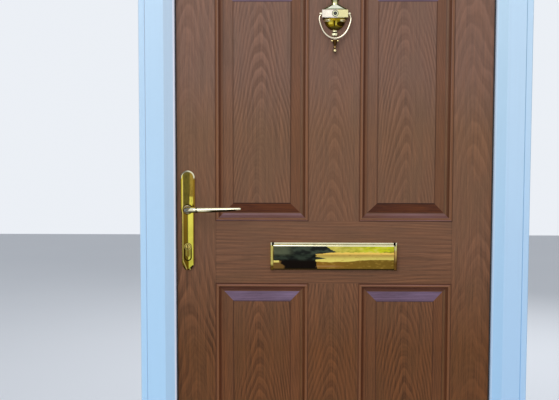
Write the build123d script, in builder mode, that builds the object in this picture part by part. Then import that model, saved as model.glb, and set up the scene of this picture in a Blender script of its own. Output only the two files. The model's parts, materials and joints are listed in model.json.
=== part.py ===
# A panelled front door with its frame. Sizes are in millimetres.
# X runs across the door, to the right seen from outside. Y goes indoors. Z is up.
# The origin is the centre of the threshold's underside.

import os
from math import cos, radians, sin

from build123d import *

os.makedirs("parts", exist_ok=True)

# Leaf
leaf_width = 806.0
leaf_height = 2000.0
leaf_thickness = 44.0
skin_thickness = 2.0
lock_stile_width = 80.0
hinge_stile_width = 60.0
top_rail_height = 60.0
bottom_rail_height = 100.0

# Rails and raised panels, whose heights fill the leaf around the lock rail and the spindle
muntin_width = 124.6
panel_width = 228.1
bottom_rail_face = 230.0
lock_rail_face = 154.8
spindle_over_lock_rail = 28.8
cross_rail_face = 114.8
top_panel_height = 200.0
top_rail_face = 117.0
bead_width = 8.8
ovolo_width = 10.2
quirk_width = 1.5
bevel_width = 24.1
bead_groove_depth = 1.6
bead_crest_depth = 0.4
recess_depth = 8.0
field_step = 1.8

# Frame
frame_depth = 70.0
body_width = 48.0
edge_gap = 6.0
lip_overlap = 16.0
lip_gap = 4.0
chamfer_width = 25.5
chamfer_depth = 12.0
frame_wall = 2.8
frame_web = 1.6
steel_room = 19.2
steel_thickness = 1.5
steel_clearance = 0.3
steel_end_gap = 30.0
extender_width = 16.0
extender_setback = 2.0
extender_depth = 62.0
extender_wall = 2.0

# Threshold
threshold_step = 18.0
bottom_gap = 6.0
threshold_nose_height = 12.0
threshold_wall = 2.0
rib_thickness = 6.0
rib_end_gap = 0.3

# Seals
gasket_reach = 2.5
gasket_clearance = 0.3
gasket_stem_inset = 8.0
gasket_stem_width = 3.0
gasket_stem_depth = 3.0
bottom_seal_width = 8.0
bottom_seal_groove = 6.0

# Wall fixings
fixing_diameter = 8.0
fixing_depth_place = 9.0
outer_fixing_inset = 150.0
inner_fixing_spacing = 578.0

# Lock furniture
spindle_height = 1020.0
faceplate_foot = 140.0
faceplate_head = 120.0
lower_hook_rise = 240.0
upper_hook_drop = 220.0
backset = 45.0
spindle_to_cylinder = 92.0
plate_fixing_spacing = 215.0
plate_fixing_above = 80.0

leaf_inside = frame_depth / 2
leaf_outside = leaf_inside - leaf_thickness
leaf_middle = leaf_inside - leaf_thickness / 2
leaf_edge = leaf_width / 2
leaf_bottom = threshold_step + bottom_gap
leaf_top = leaf_bottom + leaf_height
frame_front = -frame_depth / 2
frame_back = frame_depth / 2
rebate_x = leaf_edge + edge_gap
outer_x = rebate_x + body_width
head_z = leaf_top + edge_gap + body_width
lip_x = leaf_edge - lip_overlap
lip_top_z = leaf_top - lip_overlap
lip_bottom_z = leaf_bottom + lip_overlap
lip_back = leaf_outside - lip_gap
face_width = body_width + edge_gap + lip_overlap
spindle_x = -leaf_edge + backset
spindle_z = leaf_bottom + spindle_height
cylinder_z = spindle_z - spindle_to_cylinder
bottom_panel_low = bottom_rail_face
middle_panel_low = spindle_height - spindle_over_lock_rail
bottom_panel_height = middle_panel_low - lock_rail_face - bottom_panel_low
top_panel_low = leaf_height - top_rail_face - top_panel_height
middle_panel_height = top_panel_low - cross_rail_face - middle_panel_low
faceplate_low = leaf_bottom + faceplate_foot
faceplate_high = leaf_top - faceplate_head
hook_heights = [faceplate_low + lower_hook_rise, faceplate_high - upper_hook_drop]
outer_fixing_spacing = head_z - 2 * outer_fixing_inset


def block(x, y, z, mode=Mode.ADD):
    """A box between two corners, given as low and high pairs."""
    with Locations(((x[0] + x[1]) / 2, (y[0] + y[1]) / 2, (z[0] + z[1]) / 2)):
        Box(x[1] - x[0], y[1] - y[0], z[1] - z[0], mode=mode)


def rod(start, length, radius, axis, mode=Mode.ADD):
    """A round bar that starts at a point and runs along X, Y or Z."""
    turns = {"X": (0, 90, 0), "Y": (-90, 0, 0), "Z": (0, 0, 0)}
    with Locations(Location(start, turns[axis])):
        Cylinder(radius, length, align=(Align.CENTER, Align.CENTER, Align.MIN), mode=mode)


def cut_box(x, y, z):
    block(x, y, z, mode=Mode.SUBTRACT)


def cut_rod(start, length, radius, axis):
    rod(start, length, radius, axis, mode=Mode.SUBTRACT)


# The frame members share one chambered section, drawn from the outer face inwards.
def frame_section(plane):
    front = frame_front
    rear_low = lip_back - frame_wall + frame_web
    with BuildSketch(plane) as section:
        with BuildLine():
            Polyline(
                (0, front),
                (face_width - chamfer_width, front),
                (face_width, front + chamfer_depth),
                (face_width, lip_back),
                (body_width, lip_back),
                (body_width, frame_back),
                (0, frame_back),
                close=True,
            )
        make_face()
        nose = section.vertices().group_by(Axis.X)[-1]
        fillet(nose.sort_by(Axis.Y)[0], radius=4)
        fillet(section.vertices().group_by(Axis.X)[-1].sort_by(Axis.Y)[-1], radius=1.5)
        fillet(section.vertices().group_by(Axis.X)[0].sort_by(Axis.Y)[0], radius=1.5)
        fillet(section.vertices().group_by(Axis.Y)[-1], radius=1.0)
        steel_end = frame_wall + steel_room
        keep_start = steel_end + frame_web
        keep_end = body_width - frame_wall
        for left, right in ((frame_wall, steel_end), (keep_start, keep_end)):
            with Locations(((left + right) / 2, (rear_low + frame_back - frame_wall) / 2)):
                Rectangle(right - left, frame_back - frame_wall - rear_low, mode=Mode.SUBTRACT)
        with BuildLine():
            Polyline(
                (frame_wall, front + frame_wall),
                (steel_end, front + frame_wall),
                (steel_end, lip_back - frame_wall),
                (frame_wall, lip_back - frame_wall),
                close=True,
            )
        make_face(mode=Mode.SUBTRACT)
        slope = chamfer_depth / chamfer_width
        chamber_end = face_width - gasket_stem_inset - 2 * gasket_stem_width
        bend = face_width - chamfer_width - slope * frame_wall
        rise = (chamber_end - bend) * slope
        with BuildLine():
            Polyline(
                (keep_start, front + frame_wall),
                (bend, front + frame_wall),
                (chamber_end, front + frame_wall + rise),
                (chamber_end, lip_back - frame_wall),
                (keep_start, lip_back - frame_wall),
                close=True,
            )
        make_face(mode=Mode.SUBTRACT)
        groove_middle = face_width - gasket_stem_inset - gasket_stem_width / 2
        with Locations((groove_middle, lip_back - gasket_stem_depth / 2)):
            Rectangle(gasket_stem_width, gasket_stem_depth, mode=Mode.SUBTRACT)
    return section.sketch


def threshold_outline(plane):
    """Outline of the threshold's base: x is depth, y is height."""
    with BuildSketch(plane) as outline:
        with BuildLine():
            Polyline(
                (frame_front, 0),
                (frame_back, 0),
                (frame_back, threshold_step),
                (lip_back - rib_thickness, threshold_step),
                (frame_front, threshold_nose_height),
                close=True,
            )
        make_face()
    return outline.sketch


mid_fixing_z = head_z / 2
fixing_heights = [
    mid_fixing_z + side * spacing / 2
    for spacing in (outer_fixing_spacing, inner_fixing_spacing)
    for side in (-1, 1)
]


def cut_fixing_holes(side, start, end):
    """Holes for the wall fixings between two distances from the door's middle."""
    for z in fixing_heights:
        low = min(side * start, side * end)
        cut_rod((low, fixing_depth_place, z), abs(end - start), fixing_diameter / 2, "X")


# Keeps and hinges, whose screw holes and pockets the jambs share
hook_pivot_inset = 17.0
hook_reach = 36.0
hook_nose_start = 27.0
hook_nose_height = 10.5
hook_arm_width = 10.0
hook_thickness = 8.0
hook_eye_radius = 9.5
hook_pin_radius = 4.0
running_clearance = 0.05
slide_clearance = 0.3
keep_thickness = 2.0
keep_width = 24.0
keep_hole_margin = 2.0
keep_screw_radius = 1.8
screw_head_radius = 3.6
screw_head_height = 1.6
bolt_thickness = 12.0
latch_height = 24.0
latch_low = 22.0
latch_throw = 12.0
deadbolt_height = 24.0
deadbolt_low = -62.0

hook_hole = (-(hook_reach + 2), hook_arm_width / 2 + keep_hole_margin)
latch_hole = (latch_low - keep_hole_margin, latch_low + latch_height + keep_hole_margin)
deadbolt_hole = (deadbolt_low - keep_hole_margin, deadbolt_low + deadbolt_height + keep_hole_margin)
# Each keep: name, reference height, plate span and bolt holes measured from that height
keep_plates = [
    ("lower_keep", hook_heights[0], (-65, 36), [hook_hole]),
    ("centre_keep", spindle_z, (-90, 74), [latch_hole, deadbolt_hole]),
    ("upper_keep", hook_heights[1], (-65, 36), [hook_hole]),
]
keep_screw_inset = 9.0

hinge_heights = [leaf_bottom + 150.0, leaf_bottom + leaf_height / 2, leaf_top - 150.0]
hinge_names = ["bottom", "middle", "top"]
hinge_length = 100.0
hinge_flag_length = 40.0
hinge_gap = 0.3
hinge_plate = 3.0
hinge_flag_width = 58.0
hinge_base_width = 40.0
knuckle_radius = 8.0
hinge_pin_radius = 4.0
knuckle_lift = 1.0
hinge_x = leaf_edge + edge_gap / 2
hinge_y = leaf_inside + knuckle_lift + knuckle_radius
hinge_screw_radius = 2.2
hinge_screw_length = 24.0
flag_screw_places = [(-26.0, -34.0), (-26.0, 0.0), (-26.0, 34.0), (-46.0, -34.0), (-46.0, 34.0)]
base_screw_places = [(20.0, -34.0), (34.0, -34.0), (20.0, 34.0), (34.0, 34.0)]


def cut_keep_pockets():
    """Openings in the lock jamb's rebate wall, behind each keep."""
    for name, z, span, holes in keep_plates:
        for low, high in holes:
            cut_box(
                (-rebate_x - frame_wall, -rebate_x),
                (leaf_middle - bolt_thickness / 2 - 2 * keep_hole_margin,
                 leaf_middle + bolt_thickness / 2 + 2 * keep_hole_margin),
                (z + low - keep_hole_margin, z + high + keep_hole_margin),
            )
        for end in (span[0] + keep_screw_inset, span[1] - keep_screw_inset):
            cut_rod((-rebate_x - frame_wall, leaf_middle, z + end), frame_wall,
                    keep_screw_radius + 0.1, "X")


def cut_gasket_slot(side):
    """Short groove across a jamb's lip, where the gasket turns along the threshold."""
    groove_top = lip_bottom_z - gasket_stem_inset
    cut_box(sorted((side * lip_x, side * (lip_x + gasket_stem_inset + gasket_stem_width))),
            (lip_back - gasket_stem_depth, lip_back), (groove_top - gasket_stem_width, groove_top))


def cut_base_screws():
    """Pilot holes of the hinge bases in the hinge jamb or its steel."""
    for z in hinge_heights:
        for dx, dz in base_screw_places:
            cut_rod(
                (hinge_x + dx, frame_back - hinge_screw_length, z + dz),
                hinge_screw_length,
                hinge_screw_radius + 0.1,
                "Y",
            )


mitre_left = Plane(origin=(-outer_x, 0, head_z), z_dir=(1, 0, 1))
mitre_right = Plane(origin=(outer_x, 0, head_z), z_dir=(-1, 0, 1))

with BuildPart() as lock_jamb:
    with BuildSketch(Plane((-outer_x, 0, 0), x_dir=(1, 0, 0), z_dir=(0, 0, 1))):
        add(frame_section(Plane.XY))
    extrude(amount=head_z)
    split(bisect_by=mitre_left, keep=Keep.BOTTOM)
    extrude(threshold_outline(Plane((-outer_x, 0, 0), x_dir=(0, 1, 0), z_dir=(1, 0, 0))),
            amount=face_width, mode=Mode.SUBTRACT)
    cut_fixing_holes(-1, rebate_x, outer_x)
    cut_keep_pockets()
    cut_gasket_slot(-1)
lock_jamb.part.label = "lock_jamb"

with BuildPart() as hinge_jamb:
    with BuildSketch(Plane((outer_x, 0, head_z), x_dir=(-1, 0, 0), z_dir=(0, 0, -1))):
        add(frame_section(Plane.XY))
    extrude(amount=head_z)
    split(bisect_by=mitre_right, keep=Keep.BOTTOM)
    extrude(threshold_outline(Plane((outer_x - face_width, 0, 0), x_dir=(0, 1, 0), z_dir=(1, 0, 0))),
            amount=face_width, mode=Mode.SUBTRACT)
    cut_fixing_holes(1, rebate_x, outer_x)
    cut_base_screws()
    cut_gasket_slot(1)
hinge_jamb.part.label = "hinge_jamb"

with BuildPart() as head_rail:
    with BuildSketch(Plane((-outer_x, 0, head_z), x_dir=(0, 0, -1), z_dir=(1, 0, 0))):
        add(frame_section(Plane.XY))
    extrude(amount=2 * outer_x)
    split(bisect_by=mitre_left, keep=Keep.TOP)
    split(bisect_by=mitre_right, keep=Keep.TOP)
head_rail.part.label = "head_rail"

# Galvanised box sections slide into the main chambers.
steel_low = lip_back - frame_wall + frame_web + steel_clearance
steel_high = frame_back - frame_wall - steel_clearance
steel_near = frame_wall + steel_clearance
steel_far = frame_wall + steel_room - steel_clearance


def jamb_steel(side):
    x_low, x_high = sorted((side * (outer_x - steel_near), side * (outer_x - steel_far)))
    z_span = (threshold_step + steel_clearance, head_z - steel_room - steel_end_gap)
    with BuildPart() as steel:
        block((x_low, x_high), (steel_low, steel_high), z_span)
        cut_box(
            (x_low + steel_thickness, x_high - steel_thickness),
            (steel_low + steel_thickness, steel_high - steel_thickness),
            z_span,
        )
        cut_fixing_holes(side, rebate_x, outer_x)
        if side > 0:
            cut_base_screws()
    return steel.part


lock_jamb_steel = jamb_steel(-1)
lock_jamb_steel.label = "lock_jamb_steel"
hinge_jamb_steel = jamb_steel(1)
hinge_jamb_steel.label = "hinge_jamb_steel"

with BuildPart() as head_steel:
    steel_half = outer_x - steel_room - steel_end_gap
    head_span = (head_z - steel_far, head_z - steel_near)
    block((-steel_half, steel_half), (steel_low, steel_high), head_span)
    cut_box(
        (-steel_half, steel_half),
        (steel_low + steel_thickness, steel_high - steel_thickness),
        (head_span[0] + steel_thickness, head_span[1] - steel_thickness),
    )
head_steel.part.label = "head_steel"

with BuildPart() as threshold:
    extrude(threshold_outline(Plane((-outer_x, 0, 0), x_dir=(0, 1, 0), z_dir=(1, 0, 0))),
            amount=2 * outer_x)
    # Chambers between the webs
    web_places = [frame_front, lip_back, frame_depth / 6, frame_back]
    for near, far in zip(web_places, web_places[1:]):
        roof = threshold_step if near > frame_front else threshold_nose_height
        cut_box(
            (-outer_x, outer_x),
            (near + threshold_wall, far - threshold_wall / 2 if far < frame_back else far - threshold_wall),
            (threshold_wall, roof - threshold_wall),
        )
    rib_half = lip_x - rib_end_gap
    block((-rib_half, rib_half), (lip_back - rib_thickness, lip_back), (threshold_step, lip_bottom_z))
    rib_edge = threshold.edges().filter_by(Axis.X).group_by(Axis.Z)[-1].sort_by(Axis.Y)[0]
    fillet(rib_edge, radius=3)
    groove_top = lip_bottom_z - gasket_stem_inset
    cut_box((-rib_half, rib_half), (lip_back - gasket_stem_depth, lip_back),
            (groove_top - gasket_stem_width, groove_top))
threshold.part.label = "threshold"


def side_extender(side):
    """Hollow add-on strip that is clipped to a jamb's outer face."""
    x_low, x_high = sorted((side * outer_x, side * (outer_x + extender_width)))
    y_low = frame_front + extender_setback
    with BuildPart() as extender:
        block((x_low, x_high), (y_low, y_low + extender_depth), (0, head_z))
        front_edges = extender.edges().filter_by(Axis.Z).group_by(Axis.Y)[0]
        fillet(front_edges, radius=2.5)
        web_y = y_low + extender_depth / 2
        for low, high in ((y_low + extender_wall, web_y - extender_wall / 2),
                          (web_y + extender_wall / 2, y_low + extender_depth - extender_wall)):
            cut_box((x_low + extender_wall, x_high - extender_wall), (low, high), (0, head_z))
        cut_fixing_holes(side, outer_x, outer_x + extender_width)
    return extender.part


left_extender = side_extender(-1)
left_extender.label = "left_extender"
right_extender = side_extender(1)
right_extender.label = "right_extender"


def rectangle_path(half_width, low, high, y):
    """Closed rectangle in the door's plane that starts in the middle of its bottom side."""
    with BuildLine() as path:
        Polyline(
            (0, y, low), (half_width, y, low), (half_width, y, high),
            (-half_width, y, high), (-half_width, y, low), (0, y, low),
        )
    return path.wire()


with BuildPart() as frame_gasket:
    # Drawn across the bottom side: x is downwards, away from the opening, and y is indoors.
    section_plane = Plane((0, 0, lip_bottom_z), x_dir=(0, 0, -1), z_dir=(1, 0, 0))
    with BuildSketch(section_plane) as gasket_section:
        bulb_back = leaf_outside - gasket_clearance
        stem_start = gasket_stem_inset
        stem_end = gasket_stem_inset + gasket_stem_width
        with BuildLine():
            Polyline(
                (-gasket_reach, lip_back + 1.2),
                (-0.8, lip_back),
                (stem_start, lip_back),
                (stem_start, lip_back - gasket_stem_depth),
                (stem_end, lip_back - gasket_stem_depth),
                (stem_end, lip_back),
                (stem_end + 0.8, lip_back),
                (stem_end + 0.8, lip_back + 1.0),
                (stem_start - 1.0, lip_back + 1.6),
                (2.6, bulb_back),
                (-gasket_reach + 0.8, bulb_back),
                (-gasket_reach, bulb_back - 0.8),
                close=True,
            )
        make_face()
    sweep(
        sections=gasket_section.sketch,
        path=rectangle_path(lip_x, lip_bottom_z, lip_top_z, 0),
        transition=Transition.RIGHT,
    )
frame_gasket.part.label = "frame_gasket"

# Panels of the leaf
panel_rows = [
    (bottom_panel_low, bottom_panel_height),
    (middle_panel_low, middle_panel_height),
    (top_panel_low, top_panel_height),
]
panel_centres = [
    (side * (muntin_width + panel_width) / 2, leaf_bottom + low + height / 2, height)
    for low, height in panel_rows
    for side in (-1, 1)
]
moulding_width = bead_width + ovolo_width + quirk_width + bevel_width


def panel_sweep(x, z, height, points, arcs=(), mode=Mode.ADD):
    """Runs a section of the moulding round one panel of the outer skin."""
    low = z - height / 2
    section_plane = Plane((x, leaf_outside, low), x_dir=(0, 0, 1), z_dir=(-1, 0, 0))
    with BuildSketch(section_plane) as section:
        with BuildLine():
            for start, end in zip(points, points[1:] + points[:1]):
                if (start, end) in arcs:
                    SagittaArc(start, end, ovolo_width / 7)
                else:
                    Line(start, end)
        make_face()
    with BuildLine() as path:
        half = panel_width / 2
        y = leaf_outside
        Polyline(
            (x, y, low), (x + half, y, low), (x + half, y, low + height),
            (x - half, y, low + height), (x - half, y, low), (x, y, low),
        )
    sweep(sections=section.sketch, path=path.wire(), transition=Transition.RIGHT, mode=mode)


# The moulding in front: x runs from the panel's outer edge inwards, y into the leaf.
ovolo_start = (bead_width, bead_groove_depth)
ovolo_end = (bead_width + ovolo_width, recess_depth)
bevel_start = (ovolo_end[0] + quirk_width, recess_depth)
bevel_end = (moulding_width, field_step)
front_points = [
    (0.0, 0.0),
    (3.2, bead_groove_depth),
    (5.0, bead_crest_depth),
    (bead_width - 0.9, bead_crest_depth),
    ovolo_start,
    ovolo_end,
    bevel_start,
    bevel_end,
    (moulding_width, 0.0),
    (moulding_width, -1.0),
    (0.0, -1.0),
]
back_points = [
    (1.5, skin_thickness),
    (bead_width - 1.5, bead_groove_depth + skin_thickness),
    (ovolo_end[0] - 1.0, recess_depth + skin_thickness),
    (bevel_start[0] + 0.8, recess_depth + skin_thickness),
    (moulding_width + 0.4, field_step + skin_thickness),
    (moulding_width + 2.2, skin_thickness),
]

# Openings through the leaf
letter_z = spindle_z - 115.0
slot_width = 262.0
letter_margin = 24.0
slot_height = 42.0
letter_bolt_x = slot_width / 2 + 10.0
viewer_z = spindle_z + 473.0
viewer_radius = 7.0
plate_bolt_heights = [spindle_z + plate_fixing_above,
                      spindle_z + plate_fixing_above - plate_fixing_spacing]
plate_bolt_radius = 2.5
plate_post_radius = 4.0
neck_radius = 8.0
cylinder_radius = 8.5
cylinder_stem_width = 10.0
cylinder_drop = 24.5
cylinder_clearance = 0.3


def euro_outline(plane, grow=0.0):
    """Outline of a euro cylinder: a round top with a narrower stem below it."""
    with BuildSketch(plane) as outline:
        Circle(cylinder_radius + grow)
        stem_radius = cylinder_stem_width / 2 + grow
        drop = cylinder_drop - cylinder_stem_width / 2
        with Locations((0, -drop / 2)):
            Rectangle(2 * stem_radius, drop)
        with Locations((0, -drop)):
            Circle(stem_radius)
    return outline.sketch


def cylinder_plane(y):
    return Plane((spindle_x, y, cylinder_z), x_dir=(1, 0, 0), z_dir=(0, -1, 0))


def cut_leaf_openings():
    """What passes through the leaf from face to face."""
    depth = (leaf_outside, leaf_inside)
    cut_box((-slot_width / 2, slot_width / 2), depth,
            (letter_z - slot_height / 2, letter_z + slot_height / 2))
    for side in (-1, 1):
        cut_rod((side * letter_bolt_x, leaf_outside, letter_z), leaf_thickness,
                plate_post_radius + 0.3, "Y")
    cut_rod((0, leaf_outside, viewer_z), leaf_thickness, viewer_radius, "Y")


def cut_handle_openings():
    """Holes for the spindle, the cylinder and the backplates' bolts."""
    cut_rod((spindle_x, leaf_outside, spindle_z), leaf_thickness, neck_radius + 2, "Y")
    extrude(euro_outline(cylinder_plane(leaf_inside), grow=2 * cylinder_clearance),
            amount=leaf_thickness, mode=Mode.SUBTRACT)
    for z in plate_bolt_heights:
        cut_rod((spindle_x, leaf_outside, z), leaf_thickness, plate_post_radius + 0.3, "Y")


with BuildPart() as outer_skin:
    block((-leaf_edge, leaf_edge), (leaf_outside, leaf_outside + skin_thickness), (leaf_bottom, leaf_top))
    for x, z, height in panel_centres:
        panel_sweep(x, z, height, back_points)
    for x, z, height in panel_centres:
        panel_sweep(x, z, height, front_points, arcs=[(ovolo_start, ovolo_end)], mode=Mode.SUBTRACT)
    moulded_skin = outer_skin.part
    cut_leaf_openings()
    cut_handle_openings()
outer_skin.part.label = "outer_skin"

with BuildPart() as inner_skin:
    add(mirror(moulded_skin, about=Plane.XZ.offset(-leaf_middle)))
    cut_leaf_openings()
    cut_handle_openings()
    for z in hinge_heights:
        for dx, dz in flag_screw_places:
            cut_rod((hinge_x + dx, leaf_inside - skin_thickness, z + dz), skin_thickness,
                    hinge_screw_radius + 0.1, "Y")
inner_skin.part.label = "inner_skin"

core_front = leaf_outside + skin_thickness
core_back = leaf_inside - skin_thickness
core_left = -leaf_edge + lock_stile_width
core_right = leaf_edge - hinge_stile_width
core_low = leaf_bottom + bottom_rail_height
core_high = leaf_top - top_rail_height

with BuildPart() as moulding_backs:
    for x, z, height in panel_centres:
        panel_sweep(x, z, height, back_points)

with BuildPart() as foam_core:
    block((core_left, core_right), (core_front, core_back), (core_low, core_high))
    add(moulding_backs.part, mode=Mode.SUBTRACT)
    add(mirror(moulding_backs.part, about=Plane.XZ.offset(-leaf_middle)), mode=Mode.SUBTRACT)
    cut_leaf_openings()
foam_core.part.label = "foam_core"

# Lock pieces set into the lock edge
faceplate_width = 20.0
faceplate_thickness = 3.0
bar_width = 18.0
bar_thickness = 2.5
bar_travel = 20.0
case_wall = 1.5
gearbox_depth = 64.0
gearbox_width = 16.0
gearbox_low = spindle_z - 124.0
gearbox_high = spindle_z + 66.0
hook_case_depth = 38.0
hook_case_width = 15.0
hook_case_span = (-54.0, 24.0)
face_x = -leaf_edge
bar_front = face_x + faceplate_thickness + slide_clearance
bar_back = bar_front + bar_thickness
case_x = bar_back + slide_clearance

faceplate_screw_heights = [faceplate_low + 20, faceplate_high - 20, spindle_z - 330,
                           spindle_z + 330, spindle_z - 150, spindle_z + 100]
faceplate_screw_radius = 2.0
faceplate_screw_length = 30.0

with BuildPart() as lock_stile:
    block((face_x, core_left), (core_front, core_back), (leaf_bottom, leaf_top))
    cut_box((face_x, face_x + faceplate_thickness),
            (leaf_middle - faceplate_width / 2, leaf_middle + faceplate_width / 2),
            (faceplate_low, faceplate_high))
    groove_half = bar_width / 2 + slide_clearance
    cut_box((face_x, case_x), (leaf_middle - groove_half, leaf_middle + groove_half),
            (faceplate_low + 15, faceplate_high - 15))
    cut_box((face_x, case_x + gearbox_depth),
            (leaf_middle - gearbox_width / 2, leaf_middle + gearbox_width / 2),
            (gearbox_low, gearbox_high))
    for z in hook_heights:
        cut_box((face_x, case_x + hook_case_depth),
                (leaf_middle - hook_case_width / 2, leaf_middle + hook_case_width / 2),
                (z + hook_case_span[0], z + hook_case_span[1]))
    cut_handle_openings()
    for z in faceplate_screw_heights:
        cut_rod((face_x, leaf_middle, z), faceplate_screw_length, faceplate_screw_radius + 0.1, "X")
lock_stile.part.label = "lock_stile"

with BuildPart() as hinge_stile:
    block((core_right, leaf_edge), (core_front, core_back), (leaf_bottom, leaf_top))
    for z in hinge_heights:
        for dx, dz in flag_screw_places:
            cut_rod((hinge_x + dx, leaf_inside - hinge_screw_length, z + dz), hinge_screw_length,
                    hinge_screw_radius + 0.1, "Y")
hinge_stile.part.label = "hinge_stile"

with BuildPart() as top_rail:
    block((core_left, core_right), (core_front, core_back), (core_high, leaf_top))
top_rail.part.label = "top_rail"

seal_span = (leaf_middle - bottom_seal_width / 2, leaf_middle + bottom_seal_width / 2)
with BuildPart() as bottom_rail:
    block((core_left, core_right), (core_front, core_back), (leaf_bottom, core_low))
    cut_box((core_left, core_right), seal_span, (leaf_bottom, leaf_bottom + bottom_seal_groove))
bottom_rail.part.label = "bottom_rail"

with BuildPart() as bottom_seal:
    # A strip in the leaf's bottom groove, with two lips towards the threshold
    block((core_left, core_right), seal_span, (leaf_bottom, leaf_bottom + bottom_seal_groove))
    lip_low = threshold_step + gasket_clearance
    for low in (seal_span[0], seal_span[1] - 2.0):
        block((core_left, core_right), (low, low + 2.0), (lip_low, leaf_bottom))
bottom_seal.part.label = "bottom_seal"

# Multipoint lock
face_slots = [
    (latch_low, latch_low + latch_height),
    (deadbolt_low, deadbolt_low + deadbolt_height),
]
slot_half = bolt_thickness / 2 + slide_clearance
hook_slot_half = hook_thickness / 2 + 1.0
hook_slot = (-(hook_reach + 1.5), hook_arm_width / 2 + 2.0)
cylinder_screw_drop = 20.5
cylinder_screw_radius = 2.5
cylinder_screw_head_radius = 4.2

with BuildPart() as faceplate:
    block((face_x, face_x + faceplate_thickness),
          (leaf_middle - faceplate_width / 2, leaf_middle + faceplate_width / 2),
          (faceplate_low, faceplate_high))
    for low, high in face_slots:
        cut_box((face_x, face_x + faceplate_thickness),
                (leaf_middle - slot_half, leaf_middle + slot_half),
                (spindle_z + low - slide_clearance, spindle_z + high + slide_clearance))
    for z in hook_heights:
        cut_box((face_x, face_x + faceplate_thickness),
                (leaf_middle - hook_slot_half, leaf_middle + hook_slot_half),
                (z + hook_slot[0], z + hook_slot[1]))
    cut_rod((face_x, leaf_middle, cylinder_z - cylinder_screw_drop), faceplate_thickness,
            cylinder_screw_radius + 0.2, "X")
    cut_rod((face_x, leaf_middle, cylinder_z - cylinder_screw_drop), screw_head_height,
            cylinder_screw_head_radius + 0.1, "X")
    for z in faceplate_screw_heights:
        cut_rod((face_x, leaf_middle, z), faceplate_thickness, faceplate_screw_radius + 0.1, "X")
        cut_rod((face_x, leaf_middle, z), screw_head_height, screw_head_radius + 0.1, "X")
faceplate.part.label = "faceplate"

with BuildPart() as drive_bar:
    block((bar_front, bar_back), (leaf_middle - bar_width / 2, leaf_middle + bar_width / 2),
          (faceplate_low + 25, faceplate_high - 25 - bar_travel))
    for low, high in face_slots:
        cut_box((bar_front, bar_back), (leaf_middle - slot_half, leaf_middle + slot_half),
                (spindle_z + low - bar_travel - 1, spindle_z + high + 1))
    for z in hook_heights:
        cut_box((bar_front, bar_back), (leaf_middle - hook_slot_half, leaf_middle + hook_slot_half),
                (z - hook_reach - 8, z + hook_slot[1] + 1))
    screw_z = cylinder_z - cylinder_screw_drop
    cut_box((bar_front, bar_back), (leaf_middle - 3.5, leaf_middle + 3.5),
            (screw_z - bar_travel - 3.5, screw_z + 3.5))
    for z in faceplate_screw_heights:
        cut_box((bar_front, bar_back), (leaf_middle - 3, leaf_middle + 3), (z - bar_travel - 3, z + 3))
drive_bar.part.label = "drive_bar"


def lock_case(depth, width, low, high):
    """Folded steel case, open towards the drive bar."""
    with BuildPart() as case:
        block((case_x, case_x + depth), (leaf_middle - width / 2, leaf_middle + width / 2), (low, high))
        cut_box((case_x, case_x + depth - case_wall),
                (leaf_middle - width / 2 + case_wall, leaf_middle + width / 2 - case_wall),
                (low + case_wall, high - case_wall))
    return case.part


follower_boss_radius = 10.0
follower_radius = 13.0
follower_arm = 19.0
follower_tilt = 35.0
spindle_size = 8.0
with BuildPart() as gearbox_case:
    add(lock_case(gearbox_depth, gearbox_width, gearbox_low, gearbox_high))
    cut_rod((spindle_x, leaf_middle - gearbox_width / 2, spindle_z), gearbox_width,
            follower_boss_radius + running_clearance, "Y")
    extrude(euro_outline(cylinder_plane(leaf_middle + gearbox_width / 2), grow=cylinder_clearance),
            amount=gearbox_width, mode=Mode.SUBTRACT)
gearbox_case.part.label = "gearbox_case"

with BuildPart() as follower:
    inner_half = gearbox_width / 2 - case_wall - slide_clearance
    rod((spindle_x, leaf_middle - inner_half, spindle_z), 2 * inner_half, follower_radius, "Y")
    rod((spindle_x, leaf_middle - gearbox_width / 2, spindle_z), gearbox_width, follower_boss_radius, "Y")
    with Locations(Location((spindle_x, leaf_middle, spindle_z), (0, -follower_tilt, 0))):
        Box(7, 2 * inner_half, follower_arm, align=(Align.CENTER, Align.CENTER, Align.MIN))
    cut_box((spindle_x - spindle_size / 2, spindle_x + spindle_size / 2),
            (leaf_middle - gearbox_width / 2, leaf_middle + gearbox_width / 2),
            (spindle_z - spindle_size / 2, spindle_z + spindle_size / 2))
follower.part.label = "follower"

hook_pivot_x = face_x + hook_pivot_inset


def hook_case(z):
    with BuildPart() as case:
        add(lock_case(hook_case_depth, hook_case_width, z + hook_case_span[0], z + hook_case_span[1]))
        rod((hook_pivot_x, leaf_middle - hook_case_width / 2, z), hook_case_width, hook_pin_radius, "Y")
    return case.part


lower_hook_case = hook_case(hook_heights[0])
lower_hook_case.label = "lower_hook_case"
upper_hook_case = hook_case(hook_heights[1])
upper_hook_case.label = "upper_hook_case"


def hook(z):
    """Hook bolt drawn back: its arm hangs from the pin with the nose towards the faceplate."""
    plane = Plane((hook_pivot_x, leaf_middle - hook_thickness / 2, z), x_dir=(1, 0, 0), z_dir=(0, -1, 0))
    half = hook_arm_width / 2
    with BuildPart() as bolt:
        with BuildSketch(plane):
            Circle(hook_eye_radius)
            with BuildLine():
                Polyline(
                    (half, 0), (half, -hook_reach), (-hook_nose_height, -hook_reach),
                    (-hook_nose_height, -hook_nose_start), (-half, -hook_nose_start), (-half, 0),
                    close=True,
                )
            make_face()
            Circle(hook_pin_radius + running_clearance, mode=Mode.SUBTRACT)
        extrude(amount=-hook_thickness)
        tips = bolt.edges().filter_by(Axis.Y).group_by(Axis.Z)[0]
        fillet(tips, radius=2.5)
    return bolt.part


lower_hook = hook(hook_heights[0])
lower_hook.label = "lower_hook"
upper_hook = hook(hook_heights[1])
upper_hook.label = "upper_hook"

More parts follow.
